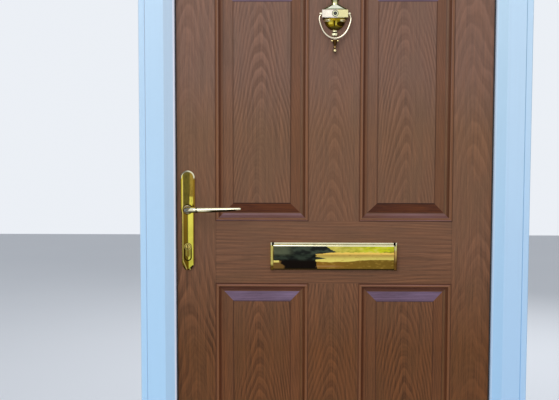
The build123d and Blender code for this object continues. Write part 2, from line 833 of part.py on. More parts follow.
nose_x = face_x + 0.5
with BuildPart() as latch:
    # The outdoor side of the head is bevelled, so that the keep pushes it back when the leaf closes
    head_back = case_x + 13
    low_y, high_y = leaf_middle - bolt_thickness / 2, leaf_middle + bolt_thickness / 2
    with BuildSketch(Plane.XY.offset(spindle_z + latch_low)):
        with BuildLine():
            Polyline((nose_x, high_y), (nose_x, high_y - 2), (nose_x + latch_throw, low_y),
                     (head_back, low_y), (head_back, high_y), close=True)
        make_face()
    extrude(amount=latch_height)
    tail_z = spindle_z + latch_low + latch_height / 2
    rod((head_back, leaf_middle, tail_z), 22, 3, "X")
    rod((head_back + 22, leaf_middle, tail_z), 3, 5.5, "X")
latch.part.label = "latch"

with BuildPart() as deadbolt:
    block((nose_x, case_x + 30), (leaf_middle - bolt_thickness / 2, leaf_middle + bolt_thickness / 2),
          (spindle_z + deadbolt_low, spindle_z + deadbolt_low + deadbolt_height))
    front_edges = deadbolt.faces().sort_by(Axis.X)[0].edges()
    chamfer(front_edges, length=1)
deadbolt.part.label = "deadbolt"


def keep_plate(z, span, holes):
    """Keep plate on the jamb's rebate face, with its bolt holes and two screw holes."""
    x_span = (-rebate_x, -rebate_x + keep_thickness)
    length = span[1] - span[0]
    middle = z + (span[0] + span[1]) / 2
    with BuildPart() as plate:
        with BuildSketch(Plane((-rebate_x, leaf_middle, middle), x_dir=(0, 1, 0), z_dir=(1, 0, 0))):
            RectangleRounded(keep_width, length, radius=4)
        extrude(amount=keep_thickness)
        for low, high in holes:
            cut_box(x_span,
                    (leaf_middle - bolt_thickness / 2 - keep_hole_margin,
                     leaf_middle + bolt_thickness / 2 + keep_hole_margin),
                    (z + low, z + high))
        for end in (span[0] + keep_screw_inset, span[1] - keep_screw_inset):
            cut_rod((-rebate_x, leaf_middle, z + end), keep_thickness, keep_screw_radius + 0.1, "X")
    return plate.part


keeps = []
for name, z, span, holes in keep_plates:
    plate = keep_plate(z, span, holes)
    plate.label = name
    keeps.append(plate)

# Screws of the keeps and the hinge bases in one node, those of the leaf in another
with BuildPart() as frame_screws:
    for name, z, span, holes in keep_plates:
        for end in (span[0] + keep_screw_inset, span[1] - keep_screw_inset):
            rod((-rebate_x - 12, leaf_middle, z + end), 12 + keep_thickness, keep_screw_radius, "X")
            rod((-rebate_x + keep_thickness, leaf_middle, z + end), 1.2, screw_head_radius, "X")
    for z in hinge_heights:
        for dx, dz in base_screw_places:
            start = frame_back + hinge_plate
            rod((hinge_x + dx, start - hinge_screw_length, z + dz), hinge_screw_length,
                hinge_screw_radius, "Y")
            rod((hinge_x + dx, start, z + dz), screw_head_height, screw_head_radius, "Y")
frame_screws.part.label = "frame_screws"

with BuildPart() as leaf_screws:
    rod((face_x, leaf_middle, cylinder_z - cylinder_screw_drop), backset + 3, cylinder_screw_radius, "X")
    rod((face_x, leaf_middle, cylinder_z - cylinder_screw_drop), screw_head_height,
        cylinder_screw_head_radius, "X")
    for z in faceplate_screw_heights:
        rod((face_x, leaf_middle, z), screw_head_height, screw_head_radius, "X")
        rod((face_x, leaf_middle, z), faceplate_screw_length, faceplate_screw_radius, "X")
    for z in hinge_heights:
        for dx, dz in flag_screw_places:
            start = leaf_inside + hinge_plate
            rod((hinge_x + dx, start - hinge_screw_length, z + dz), hinge_screw_length,
                hinge_screw_radius, "Y")
            rod((hinge_x + dx, start, z + dz), screw_head_height, screw_head_radius, "Y")
leaf_screws.part.label = "leaf_screws"

def hinge_base(z):
    """Frame half of a hinge: a plate on the jamb with two knuckles."""
    half = hinge_length / 2
    flag_half = hinge_flag_length / 2 + hinge_gap
    with BuildPart() as base:
        block((hinge_x, hinge_x + hinge_base_width), (frame_back, frame_back + hinge_plate),
              (z - half, z + half))
        corners = base.edges().filter_by(Axis.Y).group_by(Axis.X)[-1]
        fillet(corners, radius=6)
        for low, high in ((z - half, z - flag_half), (z + flag_half, z + half)):
            rod((hinge_x, hinge_y, low), high - low, knuckle_radius, "Z")
            block((hinge_x, hinge_x + knuckle_radius), (frame_back, hinge_y), (low, high))
        cut_box((hinge_x - knuckle_radius, hinge_x + knuckle_radius + 1),
                (frame_back, hinge_y + knuckle_radius), (z - flag_half, z + flag_half))
        cut_rod((hinge_x, hinge_y, z - half), hinge_length, hinge_pin_radius, "Z")
        for dx, dz in base_screw_places:
            cut_rod((hinge_x + dx, frame_back, z + dz), hinge_plate, hinge_screw_radius + 0.1, "Y")
    return base.part


def hinge_flag(z):
    """Leaf half of a hinge: a plate on the leaf with the middle knuckle."""
    half = hinge_length / 2
    flag_half = hinge_flag_length / 2
    with BuildPart() as flag:
        block((hinge_x - hinge_flag_width, hinge_x - knuckle_radius - 1),
              (leaf_inside, leaf_inside + hinge_plate),
              (z - half, z + half))
        corners = flag.edges().filter_by(Axis.Y).group_by(Axis.X)[0]
        fillet(corners, radius=6)
        block((hinge_x - knuckle_radius - 1, hinge_x), (leaf_inside, leaf_inside + hinge_plate),
              (z - flag_half, z + flag_half))
        rod((hinge_x, hinge_y, z - flag_half), hinge_flag_length, knuckle_radius, "Z")
        block((hinge_x - knuckle_radius, hinge_x), (leaf_inside, hinge_y), (z - flag_half, z + flag_half))
        cut_rod((hinge_x, hinge_y, z - flag_half), hinge_flag_length,
                hinge_pin_radius + running_clearance, "Z")
        for dx, dz in flag_screw_places:
            cut_rod((hinge_x + dx, leaf_inside, z + dz), hinge_plate, hinge_screw_radius + 0.1, "Y")
    return flag.part


hinges = []
for name, z in zip(hinge_names, hinge_heights):
    base = hinge_base(z)
    base.label = name + "_hinge_base"
    flag = hinge_flag(z)
    flag.label = name + "_hinge_flag"
    hinges += [base, flag]

with BuildPart() as hinge_pins:
    for z in hinge_heights:
        rod((hinge_x, hinge_y, z - hinge_length / 2), hinge_length, hinge_pin_radius, "Z")
        rod((hinge_x, hinge_y, z + hinge_length / 2), 4, knuckle_radius, "Z")
        rod((hinge_x, hinge_y, z - hinge_length / 2 - 4), 4, knuckle_radius, "Z")
hinge_pins.part.label = "hinge_pins"

# Handles
plate_width = 34.0
plate_low_width = 30.0
plate_height = 245.0
plate_above = 95.0
plate_thickness = 9.0
plate_edge = 3.5
plate_crown = 60.0
plate_foot_width = 12.0
plate_foot_rise = 26.0
plate_post_length = 14.0
bolt_head_radius = 4.6
bolt_head_height = 3.2
boss_radius = 11.0
boss_height = 6.0
lever_length = 134.0
lever_stand_off = 52.0
lever_height = 13.0
lever_lift = 2.5
neck_straight = 6.0
lever_depth = 15.0
lever_tip_height = 7.0
lever_tip_depth = 9.0
collar_place = 27.0
collar_length = 3.0
collar_rise = 0.8
neck_bore_depth = 12.0


def plate_outline(inset=0.0):
    """Outline of a backplate: an arched top, wider above the lever, and a narrow rounded foot."""
    top = plate_above - inset
    bottom = plate_above - plate_height + inset
    half = plate_width / 2 - inset
    low_half = plate_low_width / 2 - inset
    foot_half = plate_foot_width / 2 - inset / 2
    with BuildSketch() as outline:
        with BuildLine():
            right = Line((half, 2), (half, top - half))
            arch = ThreePointArc(right @ 1, (0, top), (-half, top - half))
            left = Line(arch @ 1, (-half, 2))
            left_waist = Line(left @ 1, (-low_half, -boss_radius))
            left_side = Line(left_waist @ 1, (-low_half, bottom + plate_foot_rise))
            left_foot = SagittaArc(left_side @ 1, (-foot_half, bottom), -3)
            foot = Line(left_foot @ 1, (foot_half, bottom))
            right_foot = SagittaArc(foot @ 1, (low_half, bottom + plate_foot_rise), -3)
            right_side = Line(right_foot @ 1, (low_half, -boss_radius))
            Line(right_side @ 1, right @ 0)
        make_face()
    return outline.sketch


def backplate(inside=False):
    """Long backplate on the outer face; its back is hollow for the bolts of the inner one."""
    plane = Plane((spindle_x, leaf_outside, spindle_z), x_dir=(1, 0, 0), z_dir=(0, -1, 0))
    with BuildPart() as plate:
        with BuildSketch(plane):
            add(plate_outline())
        extrude(amount=plate_thickness - plate_edge)
        with BuildSketch(plane.offset(plate_thickness - plate_edge)):
            add(plate_outline())
        with BuildSketch(plane.offset(plate_thickness)):
            add(plate_outline(inset=plate_edge))
        loft(ruled=True)
        # The front is gently crowned from side to side
        rod((spindle_x, leaf_outside - plate_thickness + plate_crown, spindle_z - plate_height),
            2 * plate_height, plate_crown, "Z", mode=Mode.INTERSECT)
        with BuildSketch(plane.offset(plate_thickness - 2)):
            Circle(boss_radius)
        extrude(amount=boss_height + 2)
        fillet(plate.edges().filter_by(GeomType.CIRCLE).sort_by(Axis.Y)[0], radius=1.5)
        # The lever's neck turns in the boss
        start = leaf_outside - plate_thickness - boss_height
        cut_rod((spindle_x, start, spindle_z), neck_bore_depth, neck_radius + running_clearance, "Y")
        cut_rod((spindle_x, start, spindle_z), plate_thickness + boss_height, spindle_size * 0.8, "Y")
        extrude(euro_outline(cylinder_plane(leaf_outside), grow=cylinder_clearance),
                amount=plate_thickness, mode=Mode.SUBTRACT)
        for z in plate_bolt_heights:
            if inside:
                cut_rod((spindle_x, leaf_outside - plate_thickness, z), plate_thickness,
                        plate_bolt_radius + 0.2, "Y")
                cut_rod((spindle_x, leaf_outside - plate_thickness, z), bolt_head_height,
                        bolt_head_radius + 0.2, "Y")
            else:
                rod((spindle_x, leaf_outside, z), plate_post_length, plate_post_radius, "Y")
                cut_rod((spindle_x, leaf_outside - 2, z), plate_post_length + 2,
                        plate_bolt_radius + 0.1, "Y")
    return plate.part


def lever_section(x, y, lift, depth, height, turn):
    """Oval section across the lever, turned from facing outwards (0) to facing along the grip (90)."""
    facing = (sin(radians(turn)), -cos(radians(turn)), 0)
    level = (cos(radians(turn)), sin(radians(turn)), 0)
    plane = Plane((spindle_x + x, y, spindle_z + lift), x_dir=level, z_dir=facing)
    with BuildSketch(plane) as section:
        if height == depth:
            Circle(height / 2)
        else:
            Ellipse(depth / 2, height / 2)
    return section.sketch.face()


def lever():
    """Lever handle outside: a neck that curves out of the boss, and a slim grip tapering to the right."""
    boss_face = leaf_outside - plate_thickness - boss_height
    neck_start = boss_face + neck_bore_depth - running_clearance
    grip_y = leaf_outside - plate_thickness - lever_stand_off
    bend_y = boss_face - neck_straight
    neck_width = 2 * neck_radius
    with BuildPart() as handle:
        rod((spindle_x, bend_y, spindle_z), neck_start - bend_y, neck_radius, "Y")
        loft(sections=[
            lever_section(0, bend_y, 0, neck_width, neck_width, 0),
            lever_section(0.05 * collar_place, 0.6 * bend_y + 0.4 * grip_y, 0.2 * lever_lift,
                          0.95 * neck_width, 0.92 * neck_width, 14),
            lever_section(0.38 * collar_place, 0.2 * bend_y + 0.8 * grip_y, 0.6 * lever_lift,
                          0.92 * neck_width, 0.86 * neck_width, 48),
            lever_section(collar_place, grip_y, lever_lift, lever_depth, lever_height, 90),
        ])
        tip_lift = lever_lift + (lever_height - lever_tip_height) / 2
        loft(sections=[
            lever_section(collar_place, grip_y, lever_lift, lever_depth, lever_height, 90),
            lever_section(0.62 * lever_length, grip_y, lever_lift + 0.08 * lever_height,
                          0.9 * lever_depth, 0.9 * lever_height, 90),
            lever_section(lever_length - 4, grip_y, tip_lift, lever_tip_depth, lever_tip_height, 90),
        ])
        loft(sections=[
            lever_section(lever_length - 4, grip_y, tip_lift, lever_tip_depth, lever_tip_height, 90),
            lever_section(lever_length - 1, grip_y, tip_lift,
                          0.7 * lever_tip_depth, 0.7 * lever_tip_height, 90),
            lever_section(lever_length, grip_y, tip_lift,
                          0.35 * lever_tip_depth, 0.35 * lever_tip_height, 90),
        ], ruled=True)
        # Collar at the start of the grip
        collar = lever_section(collar_place - collar_length / 2, grip_y, lever_lift,
                               lever_depth + 2 * collar_rise, lever_height + 2 * collar_rise, 90)
        extrude(collar, amount=collar_length)
        # Square hole for the spindle
        cut_box((spindle_x - spindle_size / 2, spindle_x + spindle_size / 2),
                (neck_start - 25, neck_start),
                (spindle_z - spindle_size / 2, spindle_z + spindle_size / 2))
    return handle.part


def indoors(part):
    """The same piece on the other side of the leaf."""
    return mirror(part, about=Plane.XZ.offset(-leaf_middle))


outer_backplate = backplate()
outer_backplate.label = "outer_backplate"
inner_backplate = indoors(backplate(inside=True))
inner_backplate.label = "inner_backplate"
outer_lever = lever()
outer_lever.label = "outer_lever"
inner_lever = indoors(outer_lever)
inner_lever.label = "inner_lever"

socket_end = leaf_outside - plate_thickness - boss_height + neck_bore_depth - 25
with BuildPart() as spindle:
    block((spindle_x - spindle_size / 2, spindle_x + spindle_size / 2),
          (socket_end + 1, 2 * leaf_middle - socket_end - 1),
          (spindle_z - spindle_size / 2, spindle_z + spindle_size / 2))
spindle.part.label = "spindle"

# Euro cylinder
plug_radius = 6.5
cam_radius = 15.0
cam_width = 9.4
cam_gap = 10.0
cylinder_proud = 1.5
cylinder_half = leaf_thickness / 2 + plate_thickness + cylinder_proud
keyway_width = 2.2
keyway_height = 8.5

with BuildPart() as cylinder_body:
    extrude(euro_outline(cylinder_plane(leaf_middle + cylinder_half)), amount=2 * cylinder_half)
    cut_rod((spindle_x, leaf_middle - cylinder_half, cylinder_z), 2 * cylinder_half,
            plug_radius + running_clearance, "Y")
    cut_rod((spindle_x, leaf_middle - cam_gap / 2, cylinder_z), cam_gap, cam_radius + 0.8, "Y")
    cut_rod((spindle_x - cylinder_radius, leaf_middle, cylinder_z - cylinder_screw_drop),
            2 * cylinder_radius, cylinder_screw_radius + running_clearance, "X")
cylinder_body.part.label = "cylinder_body"

with BuildPart() as cylinder_plug:
    rod((spindle_x, leaf_middle - cylinder_half, cylinder_z), 2 * cylinder_half, plug_radius, "Y")
    rod((spindle_x, leaf_middle - cam_width / 2, cylinder_z), cam_width, plug_radius + 1, "Y")
    block((spindle_x - 3.5, spindle_x + 3.5), (leaf_middle - cam_width / 2, leaf_middle + cam_width / 2),
          (cylinder_z - cam_radius + 1, cylinder_z))
    for low in (leaf_middle - cylinder_half, leaf_middle + cylinder_half - 25):
        cut_box((spindle_x - keyway_width / 2, spindle_x + keyway_width / 2), (low, low + 25),
                (cylinder_z - keyway_height / 2 - 1, cylinder_z + keyway_height / 2 - 1))
cylinder_plug.part.label = "cylinder_plug"

# Letterplate
letter_width = slot_width + 2 * letter_margin
letter_height = 68.0
letter_plate = 3.0
letter_rim = 11.0
cheek_width = 7.0
top_ridge = 4.5
flap_gap = 0.6
flap_thickness = 2.5
flap_bow = 4.0
flap_roll_radius = 3.0
flap_stand = 6.5
flap_pin_radius = 1.5
sleeve_wall = 1.5
flap_pivot_y = leaf_outside - flap_stand
flap_pivot_z = letter_z + letter_height / 2 - top_ridge - flap_gap - flap_roll_radius


def letter_frame(inside=False):
    """Frame of the letterplate: a flange with end cheeks and a ridge along the top."""
    y_plate = leaf_outside - letter_plate
    y_rim = leaf_outside - letter_rim
    half, tall = letter_width / 2, letter_height / 2
    with BuildPart() as surround:
        block((-half, half), (y_plate, leaf_outside), (letter_z - tall, letter_z + tall))
        for side in (-1, 1):
            block(sorted((side * half, side * (half - cheek_width))), (y_rim, y_plate),
                  (letter_z - tall, letter_z + tall))
        block((-half, half), (y_rim, y_plate), (letter_z + tall - top_ridge, letter_z + tall))
        chamfer(surround.faces().sort_by(Axis.Y)[0].edges(), length=1.2)
        cut_box((-slot_width / 2 + sleeve_wall, slot_width / 2 - sleeve_wall), (y_plate, leaf_outside),
                (letter_z - slot_height / 2 + sleeve_wall, letter_z + slot_height / 2 - sleeve_wall))
        # Blind holes in the cheeks carry the flap's pins
        cut_rod((-half + cheek_width / 2, flap_pivot_y, flap_pivot_z), letter_width - cheek_width,
                flap_pin_radius + running_clearance, "X")
        for side in (-1, 1):
            x = side * letter_bolt_x
            if inside:
                cut_rod((x, y_plate, letter_z), letter_plate, plate_bolt_radius + 0.2, "Y")
                cut_rod((x, y_plate, letter_z), screw_head_height, bolt_head_radius + 0.2, "Y")
            else:
                rod((x, leaf_outside, letter_z), plate_post_length, plate_post_radius, "Y")
                cut_rod((x, leaf_outside - 1, letter_z), plate_post_length + 1,
                        plate_bolt_radius + 0.1, "Y")
    return surround.part


def letter_flap():
    """Bowed flap between the cheeks, rolled at its top round the two pins it hangs on."""
    half = letter_width / 2 - cheek_width - flap_gap
    drop = flap_pivot_z - (letter_z - letter_height / 2 + 1.0)
    # In this plane x is height above the pivot and y is outdoors
    plane = Plane((-half, flap_pivot_y, flap_pivot_z), x_dir=(0, 0, 1), z_dir=(1, 0, 0))
    back = -flap_stand + letter_plate + 1.5
    with BuildPart() as flap:
        with BuildSketch(plane):
            with BuildLine():
                rear = ThreePointArc((-drop, back), (-drop / 2, back + flap_bow - 0.5), (0, -1))
                top = Line(rear @ 1, (0, flap_roll_radius))
                face = ThreePointArc(top @ 1, (-drop / 2, back + flap_thickness + flap_bow),
                                     (-drop, back + flap_thickness))
                Line(face @ 1, rear @ 0)
            make_face()
            Circle(flap_roll_radius)
        extrude(amount=2 * half)
        pin_reach = flap_gap + cheek_width / 2 - 0.3
        rod((-half - pin_reach, flap_pivot_y, flap_pivot_z), 2 * (half + pin_reach), flap_pin_radius, "X")
    return flap.part


letterplate_frame = letter_frame()
letterplate_frame.label = "letterplate_frame"
letterplate_inner_frame = indoors(letter_frame(inside=True))
letterplate_inner_frame.label = "letterplate_inner_frame"
outer_flap = letter_flap()
outer_flap.label = "outer_flap"
inner_flap = indoors(outer_flap)
inner_flap.label = "inner_flap"

with BuildPart() as letter_sleeve:
    depth = (leaf_outside, leaf_inside)
    block((-slot_width / 2, slot_width / 2), depth,
          (letter_z - slot_height / 2, letter_z + slot_height / 2))
    cut_box((-slot_width / 2 + sleeve_wall, slot_width / 2 - sleeve_wall), depth,
            (letter_z - slot_height / 2 + sleeve_wall, letter_z + slot_height / 2 - sleeve_wall))
letter_sleeve.part.label = "letter_sleeve"

# Bolts of the handles and the letterplate, put in from indoors
with BuildPart() as through_bolts:
    for z in plate_bolt_heights:
        rod((spindle_x, leaf_outside - 1, z), leaf_thickness + plate_thickness, plate_bolt_radius, "Y")
        rod((spindle_x, leaf_inside + plate_thickness - bolt_head_height, z), bolt_head_height,
            bolt_head_radius, "Y")
    for x in (-letter_bolt_x, letter_bolt_x):
        rod((x, leaf_outside, letter_z), leaf_thickness + letter_plate, plate_bolt_radius, "Y")
        rod((x, leaf_inside + letter_plate - screw_head_height, letter_z), screw_head_height,
            bolt_head_radius, "Y")
through_bolts.part.label = "through_bolts"

# Knocker and viewer
band_width = 63.0
band_height = 19.0
band_depth = 17.0
pediment_depth = 14.0
pediment_rise = 12.0
pediment_top_width = 17.0
bowl_width = 57.0
bowl_height = 29.0
relief = 0.6
ring_stand = 12.0
ring_half_width = 37.4
ring_drop = 58.5
ring_start = 8.0
ring_wire_radius = 1.4
ring_middle_radius = 2.4
ring_eye_radius = 3.2
ring_eye_length = 4.5
ring_pin_radius = 1.3
scroll_place = 7.0
scroll_radius = 2.6
knob_taper_radius = 6.0
upper_ball_radius = 3.6
upper_ball_drop = 80.2
lower_ball_radius = 4.6
lower_ball_drop = 88.2
striker_gap = 0.2
striker_radius = 3.8
ring_y = leaf_outside - ring_stand
viewer_flange_radius = 7.8
viewer_flange = 1.5
viewer_clearance = 0.15
viewer_bore = 3.6
eyepiece_radius = 12.0
eyepiece_height = 3.0

# Urn with its finial above and its foot below, turned and then flattened against the leaf
shoulder = band_height / 2 + pediment_rise
bowl_top = -band_height / 2
foot_top = bowl_top - bowl_height
with BuildPart() as urn:
    with BuildSketch(Plane.XZ):
        with BuildLine():
            finial = Spline((0, shoulder + 50), (4, shoulder + 45), (3, shoulder + 38),
                            (7, shoulder + 32), (12, shoulder + 21), (8, shoulder + 8),
                            (pediment_top_width / 2, shoulder))
            waist = Polyline(finial @ 1, (pediment_top_width / 2, 0), (bowl_width / 2, 0),
                             (bowl_width / 2, bowl_top - 5), (bowl_width / 2 - 2.5, bowl_top - 7))
            bowl = ThreePointArc(waist @ 1, (bowl_width * 0.33, bowl_top - bowl_height * 0.72),
                                 (7, foot_top))
            foot = Polyline(bowl @ 1, (5.5, foot_top - 1), (5.5, foot_top - 4), (4.5, foot_top - 5.5),
                            (8, foot_top - 7), (8, foot_top - 12), (6, foot_top - 13.5),
                            (0, foot_top - 13.5))
            Line(foot @ 1, finial @ 0)
        make_face()
    revolve(axis=Axis.Z)
flattened_urn = scale(urn.part, by=(1, relief, 1)).moved(Location((0, leaf_outside, viewer_z)))

with BuildPart() as knocker_body:
    wall_plane = Plane((0, leaf_outside, viewer_z), x_dir=(1, 0, 0), z_dir=(0, -1, 0))
    add(flattened_urn)
    with BuildSketch(wall_plane):
        Rectangle(band_width, band_height)
    extrude(amount=band_depth)
    with BuildSketch(wall_plane.offset(band_depth)):
        Rectangle(band_width, band_height)
    with BuildSketch(wall_plane.offset(band_depth + 1)):
        Rectangle(band_width - 2, band_height - 2)
    loft()
    # Low pediment over the band
    with BuildSketch(wall_plane):
        with BuildLine():
            base = band_height / 2
            left_slope = Line((-band_width / 2 + 1, base),
                              (-pediment_top_width / 2, base + pediment_rise))
            cap = Line(left_slope @ 1, (pediment_top_width / 2, base + pediment_rise))
            right_slope = Line(cap @ 1, (band_width / 2 - 1, base))
            Line(right_slope @ 1, left_slope @ 0)
        make_face()
    extrude(amount=pediment_depth)
    # Stub pins for the ring at the band's ends
    pin_length = ring_eye_length + 1.5
    rod((-band_width / 2 - pin_length, ring_y, viewer_z), band_width + 2 * pin_length, ring_pin_radius, "X")
    cut_box((-100, 100), (leaf_outside, leaf_outside + 100), (viewer_z - 200, viewer_z + 200))
    cut_rod((0, leaf_outside - 60, viewer_z), 60, viewer_radius, "Y")
knocker_body.part.label = "knocker_body"

# Ring: a bail from eye to eye, thicker in its middle, with scrolls and two balls below it
eye_x = band_width / 2 + 0.5 + ring_eye_length / 2
ring_plane = Plane((0, ring_y, viewer_z), x_dir=(1, 0, 0), z_dir=(0, -1, 0))
bail_points = [(-eye_x, -2)]
for angle in range(0, 181, 20):
    bail_points.append((-ring_half_width * cos(radians(angle)),
                        -ring_start - (ring_drop - ring_start) * sin(radians(angle))))
bail_points.append((eye_x, -2))

with BuildPart() as knocker_ring:
    with BuildLine(ring_plane) as bail:
        Spline(*bail_points)
    bail_wire = bail.wire()
    for place, radius in ((0, ring_wire_radius), (0.5, ring_middle_radius), (1, ring_wire_radius)):
        with BuildSketch(Plane(bail_wire @ place, x_dir=(0, 1, 0), z_dir=bail_wire % place)):
            Circle(radius)
    sweep(path=bail_wire, multisection=True)
    for side in (-1, 1):
        rod((side * eye_x - ring_eye_length / 2, ring_y, viewer_z), ring_eye_length, ring_eye_radius, "X")
        with Locations((side * scroll_place, ring_y, viewer_z - ring_drop - 6)):
            Sphere(scroll_radius)
    with BuildSketch(ring_plane):
        Polygon((0, -ring_drop), (knob_taper_radius, -ring_drop - 2), (knob_taper_radius, -ring_drop - 7),
                (2, -upper_ball_drop), (2, -lower_ball_drop), (0, -lower_ball_drop), align=None)
    revolve(axis=Axis((0, ring_y, viewer_z), (0, 0, 1)))
    for drop, radius in ((upper_ball_drop, upper_ball_radius), (lower_ball_drop, lower_ball_radius)):
        with Locations((0, ring_y, viewer_z - drop)):
            Sphere(radius)
    cut_rod((-60, ring_y, viewer_z), 120, ring_pin_radius + running_clearance, "X")
knocker_ring.part.label = "knocker_ring"

with BuildPart() as striker:
    striker_z = viewer_z - lower_ball_drop
    height = ring_stand - lower_ball_radius - striker_gap
    rod((0, leaf_outside - height, striker_z), height, striker_radius, "Y")
striker.part.label = "striker"

with BuildPart() as viewer_barrel:
    front = leaf_outside - band_depth - 1
    rod((0, front - viewer_flange, viewer_z), viewer_flange, viewer_flange_radius, "Y")
    rod((0, front, viewer_z), leaf_inside - 8 - front, viewer_radius - viewer_clearance, "Y")
    cut_rod((0, front - viewer_flange, viewer_z), 100, viewer_bore, "Y")
viewer_barrel.part.label = "viewer_barrel"

with BuildPart() as viewer_lens:
    with BuildSketch(Plane((0, front, viewer_z), x_dir=(1, 0, 0), z_dir=(0, 0, 1))):
        with BuildLine():
            dome = ThreePointArc((0, -1), (3, -0.4), (viewer_bore - 0.05, 1.2))
            Polyline(dome @ 1, (viewer_bore - 0.05, 4), (0, 4), (0, -1))
        make_face()
    revolve(axis=Axis((0, 0, viewer_z), (0, 1, 0)))
viewer_lens.part.label = "viewer_lens"

with BuildPart() as viewer_eyepiece:
    # Its sleeve screws into the leaf behind the barrel
    rod((0, leaf_inside, viewer_z), eyepiece_height, eyepiece_radius, "Y")
    rod((0, leaf_inside - 7.8, viewer_z), 7.8, viewer_radius - viewer_clearance, "Y")
    cut_rod((0, leaf_inside - 8, viewer_z), 20, viewer_bore, "Y")
viewer_eyepiece.part.label = "viewer_eyepiece"

pieces = [
    lock_jamb.part, hinge_jamb.part, head_rail.part, lock_jamb_steel, hinge_jamb_steel, head_steel.part,
    threshold.part, left_extender, right_extender, frame_gasket.part, *keeps, frame_screws.part,
    *hinges, hinge_pins.part, outer_skin.part, inner_skin.part, foam_core.part, lock_stile.part,
    hinge_stile.part, top_rail.part, bottom_rail.part, bottom_seal.part, faceplate.part, drive_bar.part,
    gearbox_case.part, follower.part, lower_hook_case, upper_hook_case, lower_hook, upper_hook,
    latch.part, deadbolt.part, leaf_screws.part, outer_backplate, inner_backplate, outer_lever,
    inner_lever, spindle.part, cylinder_body.part, cylinder_plug.part,
    letterplate_frame, letterplate_inner_frame, outer_flap, inner_flap,
    letter_sleeve.part, through_bolts.part, knocker_body.part, knocker_ring.part, striker.part,
    viewer_barrel.part, viewer_lens.part, viewer_eyepiece.part,
]
for piece in pieces:
    export_step(piece, "parts/" + piece.label + ".step")
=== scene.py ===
"""Looks of a panelled front door in its frame: oak-grained skins, white uPVC, brass furniture."""
import json
from math import cos, pi, radians, sin
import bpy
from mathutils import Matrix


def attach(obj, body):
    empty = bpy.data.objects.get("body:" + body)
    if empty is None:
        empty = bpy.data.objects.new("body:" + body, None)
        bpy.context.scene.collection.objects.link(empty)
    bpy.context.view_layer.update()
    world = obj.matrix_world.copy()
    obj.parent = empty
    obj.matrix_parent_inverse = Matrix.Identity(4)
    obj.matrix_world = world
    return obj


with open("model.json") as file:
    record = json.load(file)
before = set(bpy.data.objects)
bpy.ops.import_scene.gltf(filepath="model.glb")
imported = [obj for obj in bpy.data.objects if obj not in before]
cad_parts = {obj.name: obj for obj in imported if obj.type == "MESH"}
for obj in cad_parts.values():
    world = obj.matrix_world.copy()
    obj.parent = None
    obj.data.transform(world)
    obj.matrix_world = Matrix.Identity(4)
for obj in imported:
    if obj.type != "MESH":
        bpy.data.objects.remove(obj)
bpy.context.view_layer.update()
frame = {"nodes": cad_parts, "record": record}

from types import SimpleNamespace

import bmesh
import bpy
from mathutils import Matrix, Vector

# Places on the door, in metres, as the solids have them. x is 0 in the leaf's middle, z on the floor.
stile_edge = 0.2904
stile_middle = 0.352
muntin_edge = 0.0623
panel_middle = (stile_edge + muntin_edge) / 2
panel_rows = ((0.2540, 0.8604), (1.0152, 1.5922), (1.7070, 1.9070))
row_gaps = (0.94, 1.65)
lock_rail_z = 0.92
spindle_x = -0.358
spindle_z = 1.044
plate_foot_z = 0.894
plate_arch_z = 1.122
cylinder_z = 0.952
cylinder_lobe_z = 0.926
flap_low_z = 0.896
viewer_z = 1.517

# The frame: its outer corner, and the edge, top and back of the lip that overlaps the leaf
frame_side = 0.457
frame_top = 2.078
lip_edge = 0.387
lip_top = 2.008
lip_back = -0.013

# The moulding of a panel, in metres inwards from the panel's outer edge
bead_inset = (0.0026, 0.0056)
shoulder_inset = (0.0092, 0.0124)
quirk_inset = 0.0190
bevel_inset = 0.0205
field_inset = 0.0446

# Millimetres in a metre
mm = 1000.0


def tone(red, green, blue):
    """A colour of 0 to 255 a channel, as the shader's linear numbers."""
    linear = []
    for channel in (red, green, blue):
        share = channel / 255
        linear.append(share / 12.92 if share <= 0.04045 else ((share + 0.055) / 1.055) ** 2.4)
    return (*linear, 1.0)


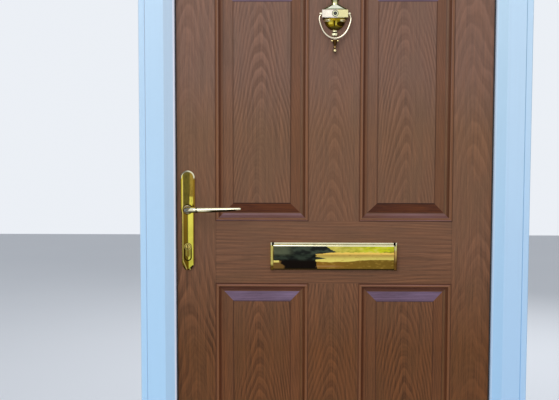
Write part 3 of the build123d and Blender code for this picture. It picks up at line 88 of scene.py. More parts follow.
class Value:
    """A socket among a finish's nodes, with Python's operators for its maths."""

    def __init__(self, tree, socket=None):
        self.tree = tree
        self.socket = socket

    def node(self, kind, settings=None, inputs=None, output=0):
        """Adds a node: its settings come first, then the numbers or links of its inputs."""
        made = self.tree.nodes.new("ShaderNode" + kind)
        for name, setting in (settings or {}).items():
            setattr(made, name, setting)
        for key, entry in (inputs or {}).items():
            if isinstance(entry, Value):
                self.tree.links.new(entry.socket, made.inputs[key])
            else:
                made.inputs[key].default_value = entry
        return Value(self.tree, made.outputs[output]) if len(made.outputs) else made

    def maths(self, operation, *entries):
        return self.node("Math", {"operation": operation}, dict(enumerate(entries)))

    def __add__(self, other):
        return self.maths("ADD", self, other)

    __radd__ = __add__

    def __sub__(self, other):
        return self.maths("SUBTRACT", self, other)

    def __rsub__(self, other):
        return self.maths("SUBTRACT", other, self)

    def __mul__(self, other):
        return self.maths("MULTIPLY", self, other)

    __rmul__ = __mul__

    def __truediv__(self, other):
        return self.maths("DIVIDE", self, other)

    def __pow__(self, other):
        return self.maths("POWER", self, other)

    def __neg__(self):
        return self.maths("MULTIPLY", self, -1.0)

    def __abs__(self):
        return self.maths("ABSOLUTE", self)

    def sign(self):
        return self.maths("SIGN", self)

    def over(self, limit):
        return self.maths("GREATER_THAN", self, limit)

    def under(self, limit):
        return self.maths("LESS_THAN", self, limit)

    def at_most(self, other):
        return self.maths("MINIMUM", self, other)

    def at_least(self, other):
        return self.maths("MAXIMUM", self, other)

    def fraction(self):
        return self.maths("FRACT", self)

    def rise(self, start, end):
        """0 at start, 1 at end, and smooth between them."""
        return self.node("MapRange", {"interpolation_type": "SMOOTHSTEP"},
                         {"Value": self, "From Min": start, "From Max": end})

    def band(self, low, high, soft):
        """1 between low and high, falling to 0 over a soft edge outside them."""
        return self.rise(low - soft, low) * self.rise(high + soft, high)

    def blend(self, first, second):
        """The first colour where this is 0, the second where it is 1."""
        return self.node("Mix", {"data_type": "RGBA"}, {0: self, 6: first, 7: second}, output=2)

    def ramp(self, stops):
        """A colour that runs through the stops, each a place from 0 to 1 with its colour."""
        made = self.node("ValToRGB", None, {0: self})
        elements = made.socket.node.color_ramp.elements
        for place, colour in stops[1:-1]:
            elements.new(place).color = colour
        elements[0].color = stops[0][1]
        elements[-1].color = stops[-1][1]
        return made

    def scaled(self, factor):
        """A colour made darker or lighter."""
        return self.node("VectorMath", {"operation": "SCALE"}, {0: self, "Scale": factor})

    def multiplied(self, factors):
        """A colour or a place with each of its three numbers multiplied by its own factor."""
        return self.node("VectorMath", {"operation": "MULTIPLY"}, {0: self, 1: factors})

    def split(self):
        """The x, y and z of a vector."""
        parts = self.node("SeparateXYZ", None, {0: self})
        return [Value(self.tree, socket) for socket in parts.socket.node.outputs]

    def joined(self, x, y, z):
        """A vector of three numbers."""
        return self.node("CombineXYZ", None, {0: x, 1: y, 2: z})

    def noise(self, detail):
        """Cloudy noise, one cell to each unit of this vector."""
        return self.node("TexNoise", None, {"Vector": self, "Scale": 1.0, "Detail": detail})

    def bump(self, distance):
        """The surface's facing where this is its height, one unit being the distance in metres."""
        return self.node("Bump", None, {"Height": self, "Distance": distance})


class Finish:
    """A material of the door, with the place and the facing of each point of its piece."""

    def __init__(self, name):
        self.material = bpy.data.materials.new(name)
        self.material.use_nodes = True
        tree = self.material.node_tree
        tree.nodes.clear()
        self.start = Value(tree)
        self.place = self.start.node("TexCoord", output="Object")
        self.x, self.y, self.z = self.place.split()
        facing = self.start.node("TexCoord", output="Normal")
        self.facing_x, self.facing_y, self.facing_z = facing.split()

    def noise(self, cells, detail):
        """Noise with so many cells to a metre along x, y and z."""
        return self.place.multiplied(cells).noise(detail)

    def done(self, **inputs):
        """Ends the material with its surface. Underscores stand for spaces in the socket names."""
        named = {key.replace("_", " "): entry for key, entry in inputs.items()}
        surface = self.start.node("BsdfPrincipled", None, named)
        self.start.node("OutputMaterial", None, {"Surface": surface})
        return self.material


def white_upvc():
    """Smooth white profile, painted blue-white with open-sky light, bluer on its right slopes, with rain
    streaks.
    """
    finish = Finish("white_upvc")
    # Painted blue sky light, toned by height and by side, with the slopes shaded apart from the flat
    # faces
    height = finish.z.rise(0.4, 1.6)
    right = finish.x.rise(-0.38, 0.38)
    sky_lit_flat = height.blend(tone(184, 224, 255), tone(193, 221, 243))
    sky_lit_flat = right.blend(sky_lit_flat, height.blend(tone(182, 218, 250), tone(203, 229, 249)))
    sky_lit_slopes = height.blend(tone(181, 212, 238), tone(202, 215, 228))
    sky_lit_slopes = right.blend(sky_lit_slopes, height.blend(tone(161, 211, 248), tone(171, 205, 224)))
    slope = abs(finish.facing_x).rise(0.25, 0.6) * (-finish.facing_y).rise(0.1, 0.4)
    colour = slope.blend(sky_lit_flat, sky_lit_slopes)
    # A painted highlight along the lip's nose
    nose_highlight = abs(finish.x).band(lip_edge - 0.001, lip_edge + 0.0036, 0.0012)
    nose_highlight = nose_highlight * finish.y.under(lip_back + 0.001)
    colour = (nose_highlight * (0.85 - 0.60 * right)).blend(colour, tone(240, 241, 252))
    # The faces turned to the back get less of the painted sky blue
    inside = finish.facing_y.rise(0.2, 0.6)
    colour = (inside * 0.7).blend(colour, tone(218, 227, 240))
    streaks = finish.noise((90, 90, 1.6), 3)
    clouds = finish.noise((5, 5, 3), 2)
    wear = 1.0 - 0.035 * streaks.rise(0.5, 0.85) - 0.05 * (clouds - 0.5)
    grime = finish.z.rise(0.25, 0.02) * streaks.rise(0.35, 0.7)
    colour = (grime * 0.25).blend(colour.scaled(wear), tone(128, 124, 112))
    off_mitre = abs((abs(finish.x) - frame_side) - (finish.z - frame_top))
    weld = off_mitre.rise(0.0014, 0.0005) * finish.z.over(lip_top - 0.008)
    colour = (weld * 0.35).blend(colour, tone(120, 132, 150))
    peel = finish.noise((420, 420, 420), 2)
    return finish.done(Base_Color=colour, Roughness=0.26 + 0.12 * streaks,
                       Normal=(peel - weld * 8.0).bump(0.00004))


def hinge_white():
    """White powder coat of the hinges, with a fine orange peel and faint clouds."""
    finish = Finish("hinge_white")
    peel = finish.noise((700, 700, 700), 2)
    clouds = finish.noise((40, 40, 40), 2)
    colour = clouds.rise(0.35, 0.7).blend(tone(228, 231, 235), tone(218, 221, 222))
    return finish.done(Base_Color=colour, Roughness=0.34 + 0.1 * clouds, Normal=peel.bump(0.00006))


def skin_pieces(finish):
    """Which piece of the moulded skin a point is on, and how far in from its panel's edge it lies.

    level and upright say which way the grain runs there. way is -1 on the left half, 1 on the right.
    """
    side = abs(finish.x)
    inset_z = -1.0
    for low, high in panel_rows:
        inset_z = (finish.z - low).at_most(high - finish.z).at_least(inset_z)
    inset_x = (side - muntin_edge).at_most(stile_edge - side)
    inset = inset_z.at_most(inset_x)
    beside_panels = inset_z.over(0.0)
    stile = side.over(stile_edge)
    rail = (1.0 - stile) * (1.0 - beside_panels)
    panel = inset.over(0.0)
    moulding = panel * (1.0 - inset.rise(field_inset - 0.001, field_inset))
    level = rail.at_least(moulding * inset_z.under(inset_x))
    return SimpleNamespace(
        side=side, way=finish.x.sign(), inset=inset, stile=stile, rail=rail, panel=panel,
        muntin=side.under(muntin_edge) * beside_panels, moulding=moulding,
        bevel=inset.over(bevel_inset), level=level, upright=1.0 - level)


def oak_figure(finish, piece):
    """The grain's lines, pores and clouds, drawn out along each board of the skin."""
    x, y, z = finish.x, finish.y, finish.z

    # Each board has its own middle, where its arches stand, and its own number, which shifts its noise
    middle = piece.way * (piece.stile * stile_middle + piece.panel * panel_middle) - 0.004
    across = (x - middle) * piece.upright + (z - lock_rail_z) * piece.level
    along = z * piece.upright + x * piece.level
    row = (z.over(row_gaps[0]) + z.over(row_gaps[1])) * (piece.panel + piece.muntin)
    board = (y.over(0.0) * 3.7 + piece.way * (piece.panel + piece.stile) * 1.3 + piece.level * 2.1
             + piece.muntin * 5.3 + piece.stile * 7.9 + row * 2.7)

    def drawn(cells_along, cells_across, detail, shift=0.0):
        """Noise with so many cells to a metre along and across the board."""
        place = finish.start.joined(along * cells_along, board + shift, across * cells_across)
        return place.noise(detail)

    streaks = drawn(8.0, 300.0, 2)
    fine = drawn(30.0, 850.0, 1)
    pores = drawn(60.0, 1700.0, 1, 4.0).rise(0.58, 0.70)
    patches = drawn(6.0, 15.0, 2, 2.0)

    # Growth rings: arches up the panels and stiles, long level lines on the rails
    sway = drawn(2.2, 3.0, 1.5)
    off = across + (0.034 + 0.07 * piece.stile) * (sway - 0.5)
    arches = (off * off + 0.00003) ** 0.74
    climb = 25.0 * piece.upright - 9.0 * piece.stile + 3.0 * piece.level
    rings = (340.0 - 160.0 * piece.stile) * arches + along * climb
    rings = rings + 2.8 * drawn(3.2, 15.0, 2, 9.0) + 0.45 * drawn(15.0, 70.0, 1, 5.0) + board
    turn = rings.fraction()
    broad = turn.rise(0.0, 0.22) * turn.rise(0.95, 0.30)
    third = (rings * 3.0).fraction()
    thin = third.rise(0.0, 0.30) * third.rise(0.95, 0.40)

    # How strongly the rings show on each piece
    left_foot = piece.stile * (0.5 - 0.5 * piece.way) * z.rise(1.1, 0.6)
    strength = (1.0 - 0.60 * piece.moulding - 0.25 * piece.muntin - 0.30 * piece.stile
                - 0.25 * piece.rail + 0.7 * left_foot)
    line = broad * (0.35 + 1.2 * fine) * patches.rise(0.28, 0.70) * strength
    thin_strength = (0.22 - 0.06 * piece.stile) * (1.0 - 0.5 * piece.moulding)
    line = line + thin * thin_strength * (0.3 + 1.2 * fine)
    return SimpleNamespace(line=line, streaks=streaks, fine=fine, pores=pores, patches=patches)


def oak_grain():
    """Moulded skin with oak grain, with a painted bluish sky sheen where its slopes face the sky and
    painted shade where they face down.
    """
    finish = Finish("oak_grain")
    piece = skin_pieces(finish)
    figure = oak_figure(finish, piece)
    line, streaks, fine, patches = figure.line, figure.streaks, figure.fine, figure.patches

    # The stain, deeper at the door's foot and greyer up the door where a sky sheen is painted into it,
    # with ruddy and dull clouds
    ramp_height = 2.05
    colour = (finish.z / ramp_height).ramp((
        (0.00, tone(105, 63, 33)), (0.34, tone(108, 67, 36)), (0.46, tone(118, 82, 60)),
        (0.60, tone(121, 87, 64)), (0.67, tone(124, 92, 76)), (1.00, tone(127, 97, 84))))
    ruddy = (streaks * 0.6 + patches * 0.4).rise(0.42, 0.60)
    colour = (ruddy * 0.36).blend(colour, colour.multiplied((1.13, 0.97, 0.82)))
    colour = (patches.rise(0.50, 0.34) * 0.3).blend(colour, colour.multiplied((0.96, 1.02, 0.95)))

    # Painted light on each slope of the moulding by the way it faces, its bevel first, then its rounded
    # outer part: sky sheen where it faces up, shade where it faces down or to the side
    facing_up = finish.facing_z.rise(0.06, 0.20)
    facing_down = finish.facing_z.rise(-0.06, -0.20)
    facing_level = (1.0 - facing_up) * (1.0 - facing_down)
    to_right = finish.facing_x.rise(0.06, 0.20) * facing_level
    to_left = finish.facing_x.rise(-0.06, -0.20) * facing_level
    bevel, rounded = piece.bevel, 1.0 - piece.bevel
    painted_sky_sheen = patches.rise(0.3, 0.7).blend(tone(98, 80, 110), tone(114, 100, 134))
    painted_dusk_sheen = patches.rise(0.3, 0.7).blend(tone(116, 78, 72), tone(122, 96, 110))
    painted_ember_shade = (patches * 0.5 + fine * 0.5).rise(0.36, 0.60).blend(tone(66, 20, 0), tone(90, 40, 6))
    for cover, tint in (
            (facing_up * bevel * 0.7, painted_sky_sheen),
            (facing_up * rounded * 0.6, painted_dusk_sheen),
            (facing_down * bevel * 0.86, painted_ember_shade),
            (facing_down * rounded * 0.7, tone(80, 38, 24)),
            (to_right * 0.5, tone(112, 68, 40)),
            (to_left * bevel * 0.25, tone(104, 64, 40)),
            (to_left * rounded * 0.5, tone(98, 68, 38))):
        colour = cover.blend(colour, tint)

    # The grain's light and dark, stronger on the door's lower half
    shade = (0.08 - 0.36 * line - 0.14 * figure.pores + 0.62 * (streaks - 0.5) + 0.36 * (fine - 0.5)
             + 0.52 * (patches - 0.5))
    brighter = 1.035 + 0.018 * piece.stile * (1.0 + piece.way)
    colour = colour.scaled(brighter + shade * (1.0 + 0.5 * finish.z.rise(1.05, 0.85)))

    # Fine lines around each panel: painted shade in its grooves and steps and a painted highlight on its
    # bead; and dark joints where the rails meet the stiles
    edge = piece.inset.band(-0.0008, 0.0010, 0.0008)
    edge_shade = facing_up.blend(tone(66, 30, 16), tone(38, 4, 0))
    bead_highlight = piece.inset.band(*bead_inset, 0.0012)
    shoulder_shade = piece.inset.band(*shoulder_inset, 0.0030)
    quirk_shade = piece.inset.band(quirk_inset - 0.0004, bevel_inset, 0.0008)
    rim = piece.inset.band(field_inset - 0.0020, field_inset + 0.0002, 0.0010)
    joint = piece.rail * (1.0 - piece.panel) * (piece.side - stile_edge).rise(-0.0034, 0.0)
    for cover, tint in (
            (edge * (0.60 + 0.35 * facing_up), edge_shade),
            (bead_highlight * 0.45, tone(154, 102, 70)),
            (shoulder_shade * (0.60 * facing_level + 0.30 * facing_up), tone(76, 30, 10)),
            (quirk_shade * 0.30, tone(52, 25, 14)),
            (rim * (0.45 + 0.40 * facing_down), tone(62, 32, 18)),
            (joint * 0.35, tone(60, 34, 22))):
        colour = cover.blend(colour, tint)
    relief = line * -0.7 - figure.pores * 0.6 + streaks * 0.4
    return finish.done(Base_Color=colour, Roughness=0.46 + 0.12 * line - 0.08 * streaks,
                       Specular_IOR_Level=0.2, Normal=relief.bump(0.00014))


def polished(name, colour_of, roughness=0.13, scuffs=0.10):
    """Polished brass. colour_of gives the colour, with its painted reflections and shade, from the
    finish's places and facings.
    """
    finish = Finish(name)
    wear = finish.noise((60, 60, 60), 3)
    scratches = finish.noise((900, 900, 120), 2)
    tarnish = finish.noise((22, 22, 22), 2).rise(0.55, 0.8)
    colour = colour_of(finish).scaled(1.0 - 0.12 * tarnish + 0.08 * (wear - 0.5))
    return finish.done(Base_Color=colour, Metallic=1.0,
                       Roughness=roughness + scuffs * wear.rise(0.4, 0.8),
                       Normal=scratches.bump(0.00001))


# Tones for the brass's painted reflections, highlights and shade
gold = tone(226, 190, 78)
amber = tone(176, 134, 44)
cream = tone(246, 240, 204)
ivory = tone(255, 246, 206)
lemon = tone(255, 238, 96)
yellow = tone(220, 196, 62)
olive = tone(112, 98, 40)
bronze = tone(134, 102, 30)
umber = tone(56, 42, 16)
shade_black = tone(30, 22, 10)


def plain_gold(finish):
    """Even gold, with painted shade where it looks down."""
    return finish.facing_z.rise(0.2, -0.7).blend(gold, bronze)


def backplate_gold(finish):
    """Painted reflections: olive above the lever, split bronze and lemon below it, with a bright left
    edge, arch and foot.
    """
    off = (finish.x - spindle_x) * mm
    height = (finish.z - plate_foot_z) * mm
    hub_height = (spindle_z - plate_foot_z) * mm
    arch_height = (plate_arch_z - plate_foot_z) * mm
    hole_low = (cylinder_lobe_z - plate_foot_z) * mm
    hole_high = (cylinder_z - plate_foot_z) * mm
    mottle = finish.noise((160, 160, 70), 2)

    # Painted reflections on the face above the lever and below it
    upper = off.rise(3.0, 8.0).blend(olive, tone(172, 140, 56))
    upper_highlight = height.band(160.0, 178.0, 6.0) * off.rise(3.0, 6.0)
    upper = (upper_highlight * 0.8).blend(upper, lemon)
    upper = mottle.rise(0.45, 0.65).blend(upper, upper.scaled(0.74))
    lower = off.rise(-2.0, 2.5).blend(bronze, lemon)
    lower = (off.band(-0.8, 0.2, 1.0) * 0.6).blend(lower, umber)
    colour = height.rise(146.0, 140.0).blend(upper, lower)

    # Painted highlights and dark reflections on the left and right edges, the foot, the arch and the
    # bright ridge down the left side
    colour = off.rise(-10.5, -12.5).blend(colour, yellow)
    colour = off.rise(12.0, 14.0).blend(colour, tone(150, 114, 34))
    foot = height.rise(25.0, 22.0)
    heel = off.rise(1.0, 3.0).blend(tone(126, 94, 20), tone(255, 240, 88))
    colour = (foot * abs(off).under(11.5)).blend(colour, heel)
    corner = (off - height * 0.9).rise(-2.0, 1.0) * height.rise(13.0, 11.0)
    colour = corner.blend(colour, shade_black)
    tips = height.rise(5.0, 3.0) * abs(abs(off) - 4.5).rise(3.0, 1.0)
    colour = tips.blend(colour, tone(236, 212, 120))
    arch = (off * off + (height - arch_height) ** 2.0) ** 0.5
    rim = arch.rise(13.0, 15.0) * height.rise(arch_height - 5.0, arch_height + 2.0)
    colour = (rim * 0.9).blend(colour, cream)
    taper = off - (25.0 - height.at_most(25.0)) * 0.42
    ridge = taper.band(-12.9, -11.6, 0.8) * height.rise(arch_height, arch_height - 8.0)
    colour = (ridge * 0.8).blend(colour, tone(255, 228, 122))

    # The painted shadow and grey reflection around the lever's neck, and the painted dark line around
    # the cylinder
    hub = (off * off + (height - hub_height) ** 2.0) ** 0.5
    colour = hub.rise(14.0, 11.5).blend(colour, umber)
    colour = hub.rise(10.6, 10.0).blend(colour, tone(150, 134, 104))
    drop = height - height.at_least(hole_low).at_most(hole_high)
    around = (off * off + drop * drop) ** 0.5
    return around.band(7.0, 9.0, 1.0).blend(colour, umber)


def cylinder_gold(finish):
    """The lock cylinder's face in painted reflections: a bright ring around the plug over a ribbed
    golden lobe.
    """
    off = (finish.x - spindle_x) * mm
    height = (finish.z - cylinder_z) * mm
    reach = (off * off + height * height) ** 0.5
    ribs = (height * 0.55).fraction().rise(0.2, 0.8)
    lobe = ribs.blend(tone(166, 132, 46), tone(250, 214, 92))
    lobe = abs(off).rise(2.8, 3.8).blend(lobe, tone(255, 236, 112))
    colour = reach.rise(9.0, 8.0).blend(lobe, tone(255, 226, 122))
    # A painted dark line around the plug, painted shade to its lower left, and painted shade in the
    # keyway
    colour = reach.band(5.8, 6.6, 0.5).blend(colour, umber)
    colour = (off * 0.7 + height).rise(-2.0, -6.0).blend(colour, colour.scaled(0.6))
    keyway = abs(off + 0.2 * height).rise(1.5, 1.0) * abs(height - 0.5).rise(4.2, 3.6)
    return keyway.blend(colour, shade_black)


def lever_gold(finish):
    """Painted reflections and shade: grey-brown neck, cream along the top, dark underneath from a third
    of the way out.
    """
    out = (finish.x - spindle_x) * mm
    off_axis = abs(finish.z - spindle_z) * mm
    under = finish.facing_z.rise(-0.25, -0.75)
    colour = under.blend(cream, tone(176, 142, 56))
    shadow = finish.facing_z.rise(0.12, -0.15) * out.rise(40.0, 68.0) * out.rise(128.0, 118.0)
    colour = shadow.blend(colour, tone(46, 34, 14))
    neck_shadow = finish.facing_z.rise(-0.15, -0.45) * out.band(6.0, 30.0, 3.0)
    colour = (neck_shadow * 0.9).blend(colour, tone(70, 54, 20))
    # A painted dark line at the collar, and the painted grey-brown reflection on the neck
    collar = out.band(25.8, 28.2, 1.0)
    colour = (collar * 0.8).blend(colour, umber)
    neck = (out - off_axis * 0.9).rise(7.5, 4.5)
    return neck.blend(colour, tone(140, 124, 100))


def letterplate_gold(finish):
    """Painted reflections: near-white ridge, bright left cheek, tan and brown right cheek; painted shade
    in the black notches at the top.
    """
    across = finish.x * mm
    height = (finish.z - flap_low_z) * mm
    right = height.rise(14.0, 40.0).blend(tone(132, 92, 40), tone(228, 188, 108))
    right = height.rise(44.0, 52.0).blend(right, tone(250, 236, 152))
    left = height.rise(8.0, 16.0).blend(tone(120, 90, 34), tone(240, 218, 116))
    colour = across.over(0.0).blend(left, right)
    # Between the cheeks, amber with a painted shadow line along the foot
    between_cheeks = abs(across).rise(148.8, 148.0)
    colour = between_cheeks.blend(colour, height.rise(4.0, 2.0).blend(amber, umber))
    colour = height.rise(60.0, 61.5).blend(colour, ivory)
    notch = abs(across).band(146.6, 151.2, 0.6) * height.rise(58.0, 59.0)
    return notch.blend(colour, tone(14, 9, 6))


def flap_gold(finish):
    """Painted reflections of a broad mirror: dark with a torn edge on the left, lime, orange and brown
    bands on the right.
    """
    across = finish.x * mm
    height = (finish.z - flap_low_z) * mm
    ripple = finish.noise((30, 30, 60), 3) - 0.5
    ragged = finish.noise((90, 90, 240), 2) - 0.5
    clouds = finish.noise((45, 45, 90), 2)

    # The painted bright reflections of the right half, in bands from the top down
    lime = across.rise(10.0, 110.0).blend(tone(206, 190, 84), tone(206, 206, 38))
    lime = (clouds.rise(0.48, 0.60) * 0.6).blend(lime, tone(170, 164, 46))
    lime = (clouds.rise(0.46, 0.36) * 0.6).blend(lime, tone(224, 208, 96))
    orange = height.rise(38.0, 26.0).blend(tone(255, 208, 100), tone(255, 230, 114))
    orange = (ragged.rise(0.10, 0.22) * 0.5).blend(orange, tone(206, 150, 64))
    wavy = height + 6.0 * ragged
    colour = wavy.rise(42.0, 44.5).blend(orange, lime)
    reflected_line = wavy.band(43.0, 45.0, 1.0) * ripple.rise(-0.05, 0.10)
    colour = (reflected_line * 0.7).blend(colour, tone(142, 132, 34))
    brown = across.rise(-45.0, 100.0).blend(tone(156, 108, 40), tone(134, 102, 36))
    brown = (ragged.rise(0.02, 0.18) * 0.4).blend(brown, tone(196, 156, 66))
    reflected_streak = (height + 5.0 * ripple).band(8.0, 10.0, 2.0) * across.rise(30.0, -10.0)
    brown = (reflected_streak * 0.7).blend(brown, tone(182, 134, 78))
    brown_top = 20.0 + 5.0 * across.rise(0.0, 110.0) + 6.0 * ripple
    colour = (brown_top - height).rise(-0.8, 0.8).blend(colour, brown)

    # The painted dark reflection of the left half ends in two points, one above the other
    upper_tip = (50.0 - (height - 44.0) * 2.0).at_most((height - 39.0) * 10.0).at_least(0.0)
    lower_tip = (27.0 - abs(height - 28.7) * 8.0).at_least(0.0)
    edge = upper_tip + lower_tip - 43.0 + 16.0 * ragged
    dark = (edge - across).rise(-1.0, 1.0)
    murk = clouds.rise(0.40, 0.62).blend(tone(34, 36, 32), tone(64, 72, 58))
    pale_reflection = across.rise(-90.0, -125.0) * height.rise(30.0, 40.0)
    murk = (pale_reflection * 0.7).blend(murk, tone(98, 102, 76))
    murk = height.rise(30.0, 20.0).blend(murk, tone(26, 20, 16))
    colour = dark.blend(colour, murk)
    # A painted brown reflection and glint in the lower left corner, a painted dark line along the foot,
    # and a painted highlight along the top
    corner = (across + ripple * 30.0).rise(-122.0, -128.0) * height.rise(23.0, 21.0)
    colour = corner.blend(colour, tone(126, 92, 46))
    glint = across.rise(-132.0, -136.0) * height.band(18.5, 22.5, 1.0)
    colour = glint.blend(colour, tone(252, 228, 120))
    colour = height.rise(3.2, 2.0).blend(colour, umber)
    return height.rise(57.5, 58.5).blend(colour, ivory)


def knocker_gold(finish):
    """Painted reflections and shade: cream band under a pale gable with dark eaves, over a bowl that
    mirrors dark on the right.
    """
    off = finish.x * mm
    height = (finish.z - viewer_z) * mm
    mottle = finish.noise((220, 220, 220), 2)

    # The bowl's painted reflections: two highlights, a dark lobe, a shaded crease and pale highlights
    # under its lip, with painted shade under the band
    bowl = off.rise(-8.0, -20.0).blend(tone(156, 128, 22), tone(118, 94, 16))
    left_highlight = off.band(-14.0, -7.0, 2.5) * height.band(-24.0, -17.0, 2.0)
    bowl = left_highlight.blend(bowl, tone(240, 214, 78))
    right_highlight = off.band(1.0, 4.0, 1.2) * height.band(-26.0, -18.0, 2.0)
    bowl = right_highlight.blend(bowl, tone(222, 196, 70))
    lobe = (((off - 13.5) / 9.5) ** 2.0 + ((height + 24.0) / 5.6) ** 2.0).rise(1.1, 0.8)
    bowl = lobe.blend(bowl, tone(60, 40, 10))
    crease = off.band(-2.4, -0.6, 0.8) * height.band(-32.0, -18.0, 1.5)
    bowl = crease.blend(bowl, shade_black)
    bowl = (height + off * off * 0.012).rise(-27.0, -31.0).blend(bowl, tone(92, 78, 28))
    lip = height.band(-18.0, -14.2, 0.6) * abs(off).rise(11.0, 15.0)
    bowl = lip.blend(bowl, tone(255, 244, 190))
    bowl = height.rise(-13.0, -11.0).blend(bowl, shade_black)

    # Painted reflections and shade on the square band, the gable above it, and the turned stems at the
    # top and the foot
    band = off.rise(2.0, 8.0).blend(tone(255, 242, 222), tone(246, 234, 172))
    band = (mottle.rise(0.5, 0.7) * 0.5).blend(band, band.scaled(0.86))
    colour = height.rise(-10.4, -9.4).blend(bowl, band)
    eaves = (abs(off) + (height - 9.5) * 1.83).rise(23.0, 25.5)
    gable = eaves.blend(tone(240, 238, 214), tone(62, 60, 28))
    gable = (height.rise(13.4, 12.0) * (1.0 - eaves)).blend(gable, tone(158, 164, 130))
    gable = height.rise(10.2, 9.4).blend(gable, umber)
    colour = height.rise(9.2, 9.6).blend(colour, gable)
    finial = abs(off).rise(3.6, 5.4).blend(tone(228, 222, 168), tone(96, 84, 36))
    colour = height.rise(21.2, 21.8).blend(colour, finial)
    foot = off.rise(4.5, 7.0).blend(tone(242, 234, 190), tone(120, 90, 36))
    foot = height.band(-44.6, -42.2, 0.6).blend(foot, umber)
    foot = height.rise(-52.0, -53.0).blend(foot, umber)
    return height.rise(-37.6, -38.4).blend(colour, foot)


def ring_gold(finish):
    """Painted reflections and shade: cream loop with glinting eyes and scrolls, a dark tail and two
    small bright balls.
    """
    off = abs(finish.x) * mm
    height = (finish.z - viewer_z) * mm
    # Painted shade where the loop turns away from the front
    rounded = abs(finish.facing_y).rise(0.50, 0.86)
    loop = rounded.blend(tone(96, 80, 36), tone(252, 236, 206))
    eyes = height.rise(-6.0, -4.0)
    loop = (eyes * rounded).blend(loop, tone(250, 240, 206))
    tail = rounded.blend(shade_black, tone(84, 58, 24))
    scrolls = off.band(5.4, 8.6, 0.6) * height.band(-67.0, -62.5, 0.8)
    tail = scrolls.blend(tail, tone(244, 224, 164))
    upper_ball = height.band(-82.6, -77.0, 0.6) * rounded
    tail = upper_ball.blend(tail, tone(158, 124, 78))
    lower_ball = height.band(-91.0, -85.0, 0.6) * rounded
    tail = lower_ball.blend(tail, tone(236, 214, 160))
    return height.rise(-60.6, -62.2).blend(loop, tail)


def viewer_gold(finish):
    """The viewer's flange in painted reflections: dark rings with a bright one between them."""
    height = finish.z - viewer_z
    reach = (finish.x * finish.x + height * height) ** 0.5 * mm
    colour = reach.band(3.4, 4.2, 0.4).blend(tone(196, 192, 146), tone(78, 80, 50))
    colour = reach.rise(4.4, 4.9).blend(colour, tone(250, 246, 206))
    return reach.rise(6.2, 6.7).blend(colour, tone(62, 62, 36))


def steel(name, base, roughness):
    """Zinc-plated steel with a faint spangle and rolling lines."""
    finish = Finish(name)
    spangle = finish.noise((140, 140, 140), 1)
    lines = finish.noise((700, 700, 12), 2)
    shade = 0.92 + 0.16 * spangle - 0.08 * (lines - 0.5)
    colour = finish.start.joined(*(shade * channel for channel in base[:3]))
    return finish.done(Base_Color=colour, Metallic=1.0, Roughness=roughness + 0.15 * (lines - 0.5),
                       Normal=lines.bump(0.00002))


def brushed_aluminium():
    """The threshold: drawn lines along its length, scuffed where feet land."""
    finish = Finish("brushed_aluminium")
    lines = finish.noise((8, 900, 900), 2)
    scuffs = finish.noise((30, 120, 120), 3).rise(0.5, 0.75)
    shade = 0.95 + 0.12 * (lines - 0.5) - 0.18 * scuffs
    colour = scuffs.blend(tone(196, 198, 202), tone(176, 174, 170)).scaled(shade)
    return finish.done(Base_Color=colour, Metallic=1.0, Roughness=0.34 + 0.2 * scuffs,
                       Normal=lines.bump(0.00003))


def seal_rubber():
    """Black gasket rubber, a little chalky."""
    finish = Finish("seal_rubber")
    bloom = finish.noise((200, 200, 60), 3)
    colour = bloom.rise(0.35, 0.8).blend(tone(22, 23, 27), tone(52, 54, 60))
    return finish.done(Base_Color=colour, Roughness=0.55 + 0.2 * bloom, Normal=bloom.bump(0.00008))


def core_foam():
    """Pale polyurethane foam with open cells."""
    finish = Finish("core_foam")
    cells = finish.start.node("TexVoronoi", None, {"Vector": finish.place, "Scale": 900.0})
    clouds = finish.noise((20, 20, 20), 2)
    colour = cells.rise(0.1, 0.6).blend(tone(196, 170, 110), tone(232, 214, 160))
    return finish.done(Base_Color=colour.scaled(0.92 + 0.16 * clouds), Roughness=0.9,
                       Normal=cells.bump(0.0003))


def laminated_timber():
    """Engineered timber of the leaf's edges: straight grain, with glue lines between its plies."""
    finish = Finish("laminated_timber")
    grain = finish.noise((420, 420, 7), 3)
    plies_per_metre = 90.0
    ply = abs((finish.y * plies_per_metre).fraction() - 0.5)
    glue = ply.rise(0.485, 0.5)
    colour = grain.rise(0.3, 0.7).blend(tone(182, 148, 108), tone(154, 118, 82))
    colour = (glue * 0.6).blend(colour, tone(96, 62, 36))
    return finish.done(Base_Color=colour, Roughness=0.55 + 0.15 * grain, Normal=grain.bump(0.0001))


def viewer_glass():
    """Dark curved glass of the door viewer."""
    finish = Finish("viewer_glass")
    dust = finish.noise((600, 600, 600), 2)
    colour = dust.rise(0.55, 0.8).blend(tone(12, 12, 14), tone(30, 30, 32))
    return finish.done(Base_Color=colour, Roughness=0.04 + 0.1 * dust, Coat_Weight=1.0)


def recess_shade():
    """Painted shade for the dark inside of the cross in a screw's head."""
    finish = Finish("recess_shade")
    shade_mottle = finish.noise((900, 900, 900), 2)
    colour = shade_mottle.blend(tone(18, 14, 8), tone(52, 40, 22))
    return finish.done(Base_Color=colour, Roughness=0.6 + 0.2 * shade_mottle)


